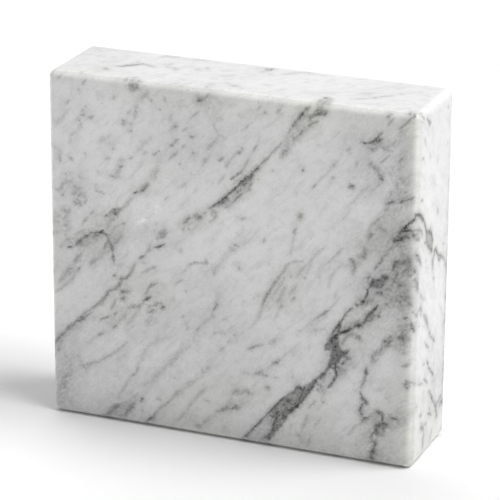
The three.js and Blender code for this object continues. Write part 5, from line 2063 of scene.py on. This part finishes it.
GLOW = 0.25              # share of the light that goes through the skin of the stone
GLOW_COLOURS = (1.0, 0.95, 0.85)
GLOW_DEPTH = 1.5         # and how deep it goes
shader.inputs["Subsurface Weight"].default_value = GLOW
shader.inputs["Subsurface Radius"].default_value = GLOW_COLOURS
shader.inputs["Subsurface Scale"].default_value = GLOW_DEPTH * MM
mesh.materials.append(material)

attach(block, "root")
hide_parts(NODE)

# ---------------------------------------------------------------- floor, light and camera

FLOOR_SIDE = 24.0        # metres
FLOOR_REFLECTANCE = 0.893
FLOOR_ROUGHNESS = 0.9

# Brightness of the studio round the block: all over, and more in front and behind.
SKY_EVEN = 0.264
SKY_FRONT = 0.16
SKY_BEHIND = 0.537

# The soft lights: name, azimuth, elevation, how wide each looks from the block, and strength.
# Angles are degrees, and azimuth goes from +X towards +Y.
SUNS = (
    ("key", 3, 60, 36, 2.38),
    ("back", 130, 60, 36, 0.56),
)

FRONT_AZIMUTH = -90.0        # the way that the front face looks
CAMERA_AZIMUTH = 21.915      # degrees from that, towards the right side
CAMERA_ELEVATION = 19.892    # degrees above level
CAMERA_DISTANCE = 1.4167     # metres
CAMERA_ROLL = 0.353          # degrees
CAMERA_LENS = 207.2          # millimetres
SENSOR_WIDTH = 36.0          # millimetres
CAMERA_AIM = Vector((1.1, 0, 2.0))   # millimetres from the block's centre

centre = (LOW + HIGH) / 2


def floor():
    half = FLOOR_SIDE / 2
    corners = [(-half, -half, 0), (half, -half, 0), (half, half, 0), (-half, half, 0)]
    mesh = bpy.data.meshes.new("floor")
    mesh.from_pydata(corners, [], [(0, 1, 2, 3)])
    plane = bpy.data.objects.new("floor", mesh)
    bpy.context.scene.collection.objects.link(plane)
    matt = bpy.data.materials.new("floor_matt")
    matt.use_nodes = True
    surface = matt.node_tree.nodes["Principled BSDF"]
    surface.inputs["Base Color"].default_value = (FLOOR_REFLECTANCE,) * 3 + (1,)
    surface.inputs["Roughness"].default_value = FLOOR_ROUGHNESS
    surface.inputs["Specular IOR Level"].default_value = 0.0
    mesh.materials.append(matt)


def direction(azimuth, elevation):
    turn, rise = math.radians(azimuth), math.radians(elevation)
    return Vector((math.cos(turn) * math.cos(rise), math.sin(turn) * math.cos(rise), math.sin(rise)))


def look_at(thing, place, target, roll=0.0):
    turn = (target - place).to_track_quat("-Z", "Y").to_matrix().to_4x4()
    thing.matrix_world = Matrix.Translation(place) @ turn @ Matrix.Rotation(roll, 4, "Z")


def soft_sun(name, azimuth, elevation, spread, strength):
    """A wide soft light from far away."""
    light = bpy.data.lights.new(name, "SUN")
    light.angle = math.radians(spread)
    light.energy = strength
    thing = bpy.data.objects.new(name, light)
    bpy.context.scene.collection.objects.link(thing)
    look_at(thing, centre + direction(azimuth, elevation), centre)


def sky():
    """The studio's own light: even all round, with more from in front of the block and behind it."""
    world = bpy.data.worlds.new("studio")
    world.use_nodes = True
    tree = world.node_tree
    around = tree.nodes.new("ShaderNodeTexCoord")
    _, backward, _ = parts_of(Value(around.outputs["Generated"]), tree)
    brightness = SKY_EVEN
    for sign, strength in ((-1, SKY_FRONT), (1, SKY_BEHIND)):
        facing = math_node("MULTIPLY", backward, sign, clamp=True, tree=tree)
        square = math_node("MULTIPLY", facing, facing, tree=tree)
        brightness = math_node("MULTIPLY_ADD", square, strength, brightness, tree=tree)
    background = tree.nodes["Background"]
    background.inputs["Color"].default_value = (1, 1, 1, 1)
    plug(background.inputs["Strength"], brightness)
    bpy.context.scene.world = world


def camera():
    data = bpy.data.cameras.new("camera")
    data.lens = CAMERA_LENS
    data.sensor_width = SENSOR_WIDTH
    thing = bpy.data.objects.new("camera", data)
    bpy.context.scene.collection.objects.link(thing)
    target = centre + CAMERA_AIM * MM
    away = direction(FRONT_AZIMUTH + CAMERA_AZIMUTH, CAMERA_ELEVATION)
    look_at(thing, target + CAMERA_DISTANCE * away, target, math.radians(CAMERA_ROLL))
    bpy.context.scene.camera = thing


floor()
sky()
for sun in SUNS:
    soft_sun(*sun)
camera()
bpy.context.scene.view_settings.view_transform = "Standard"
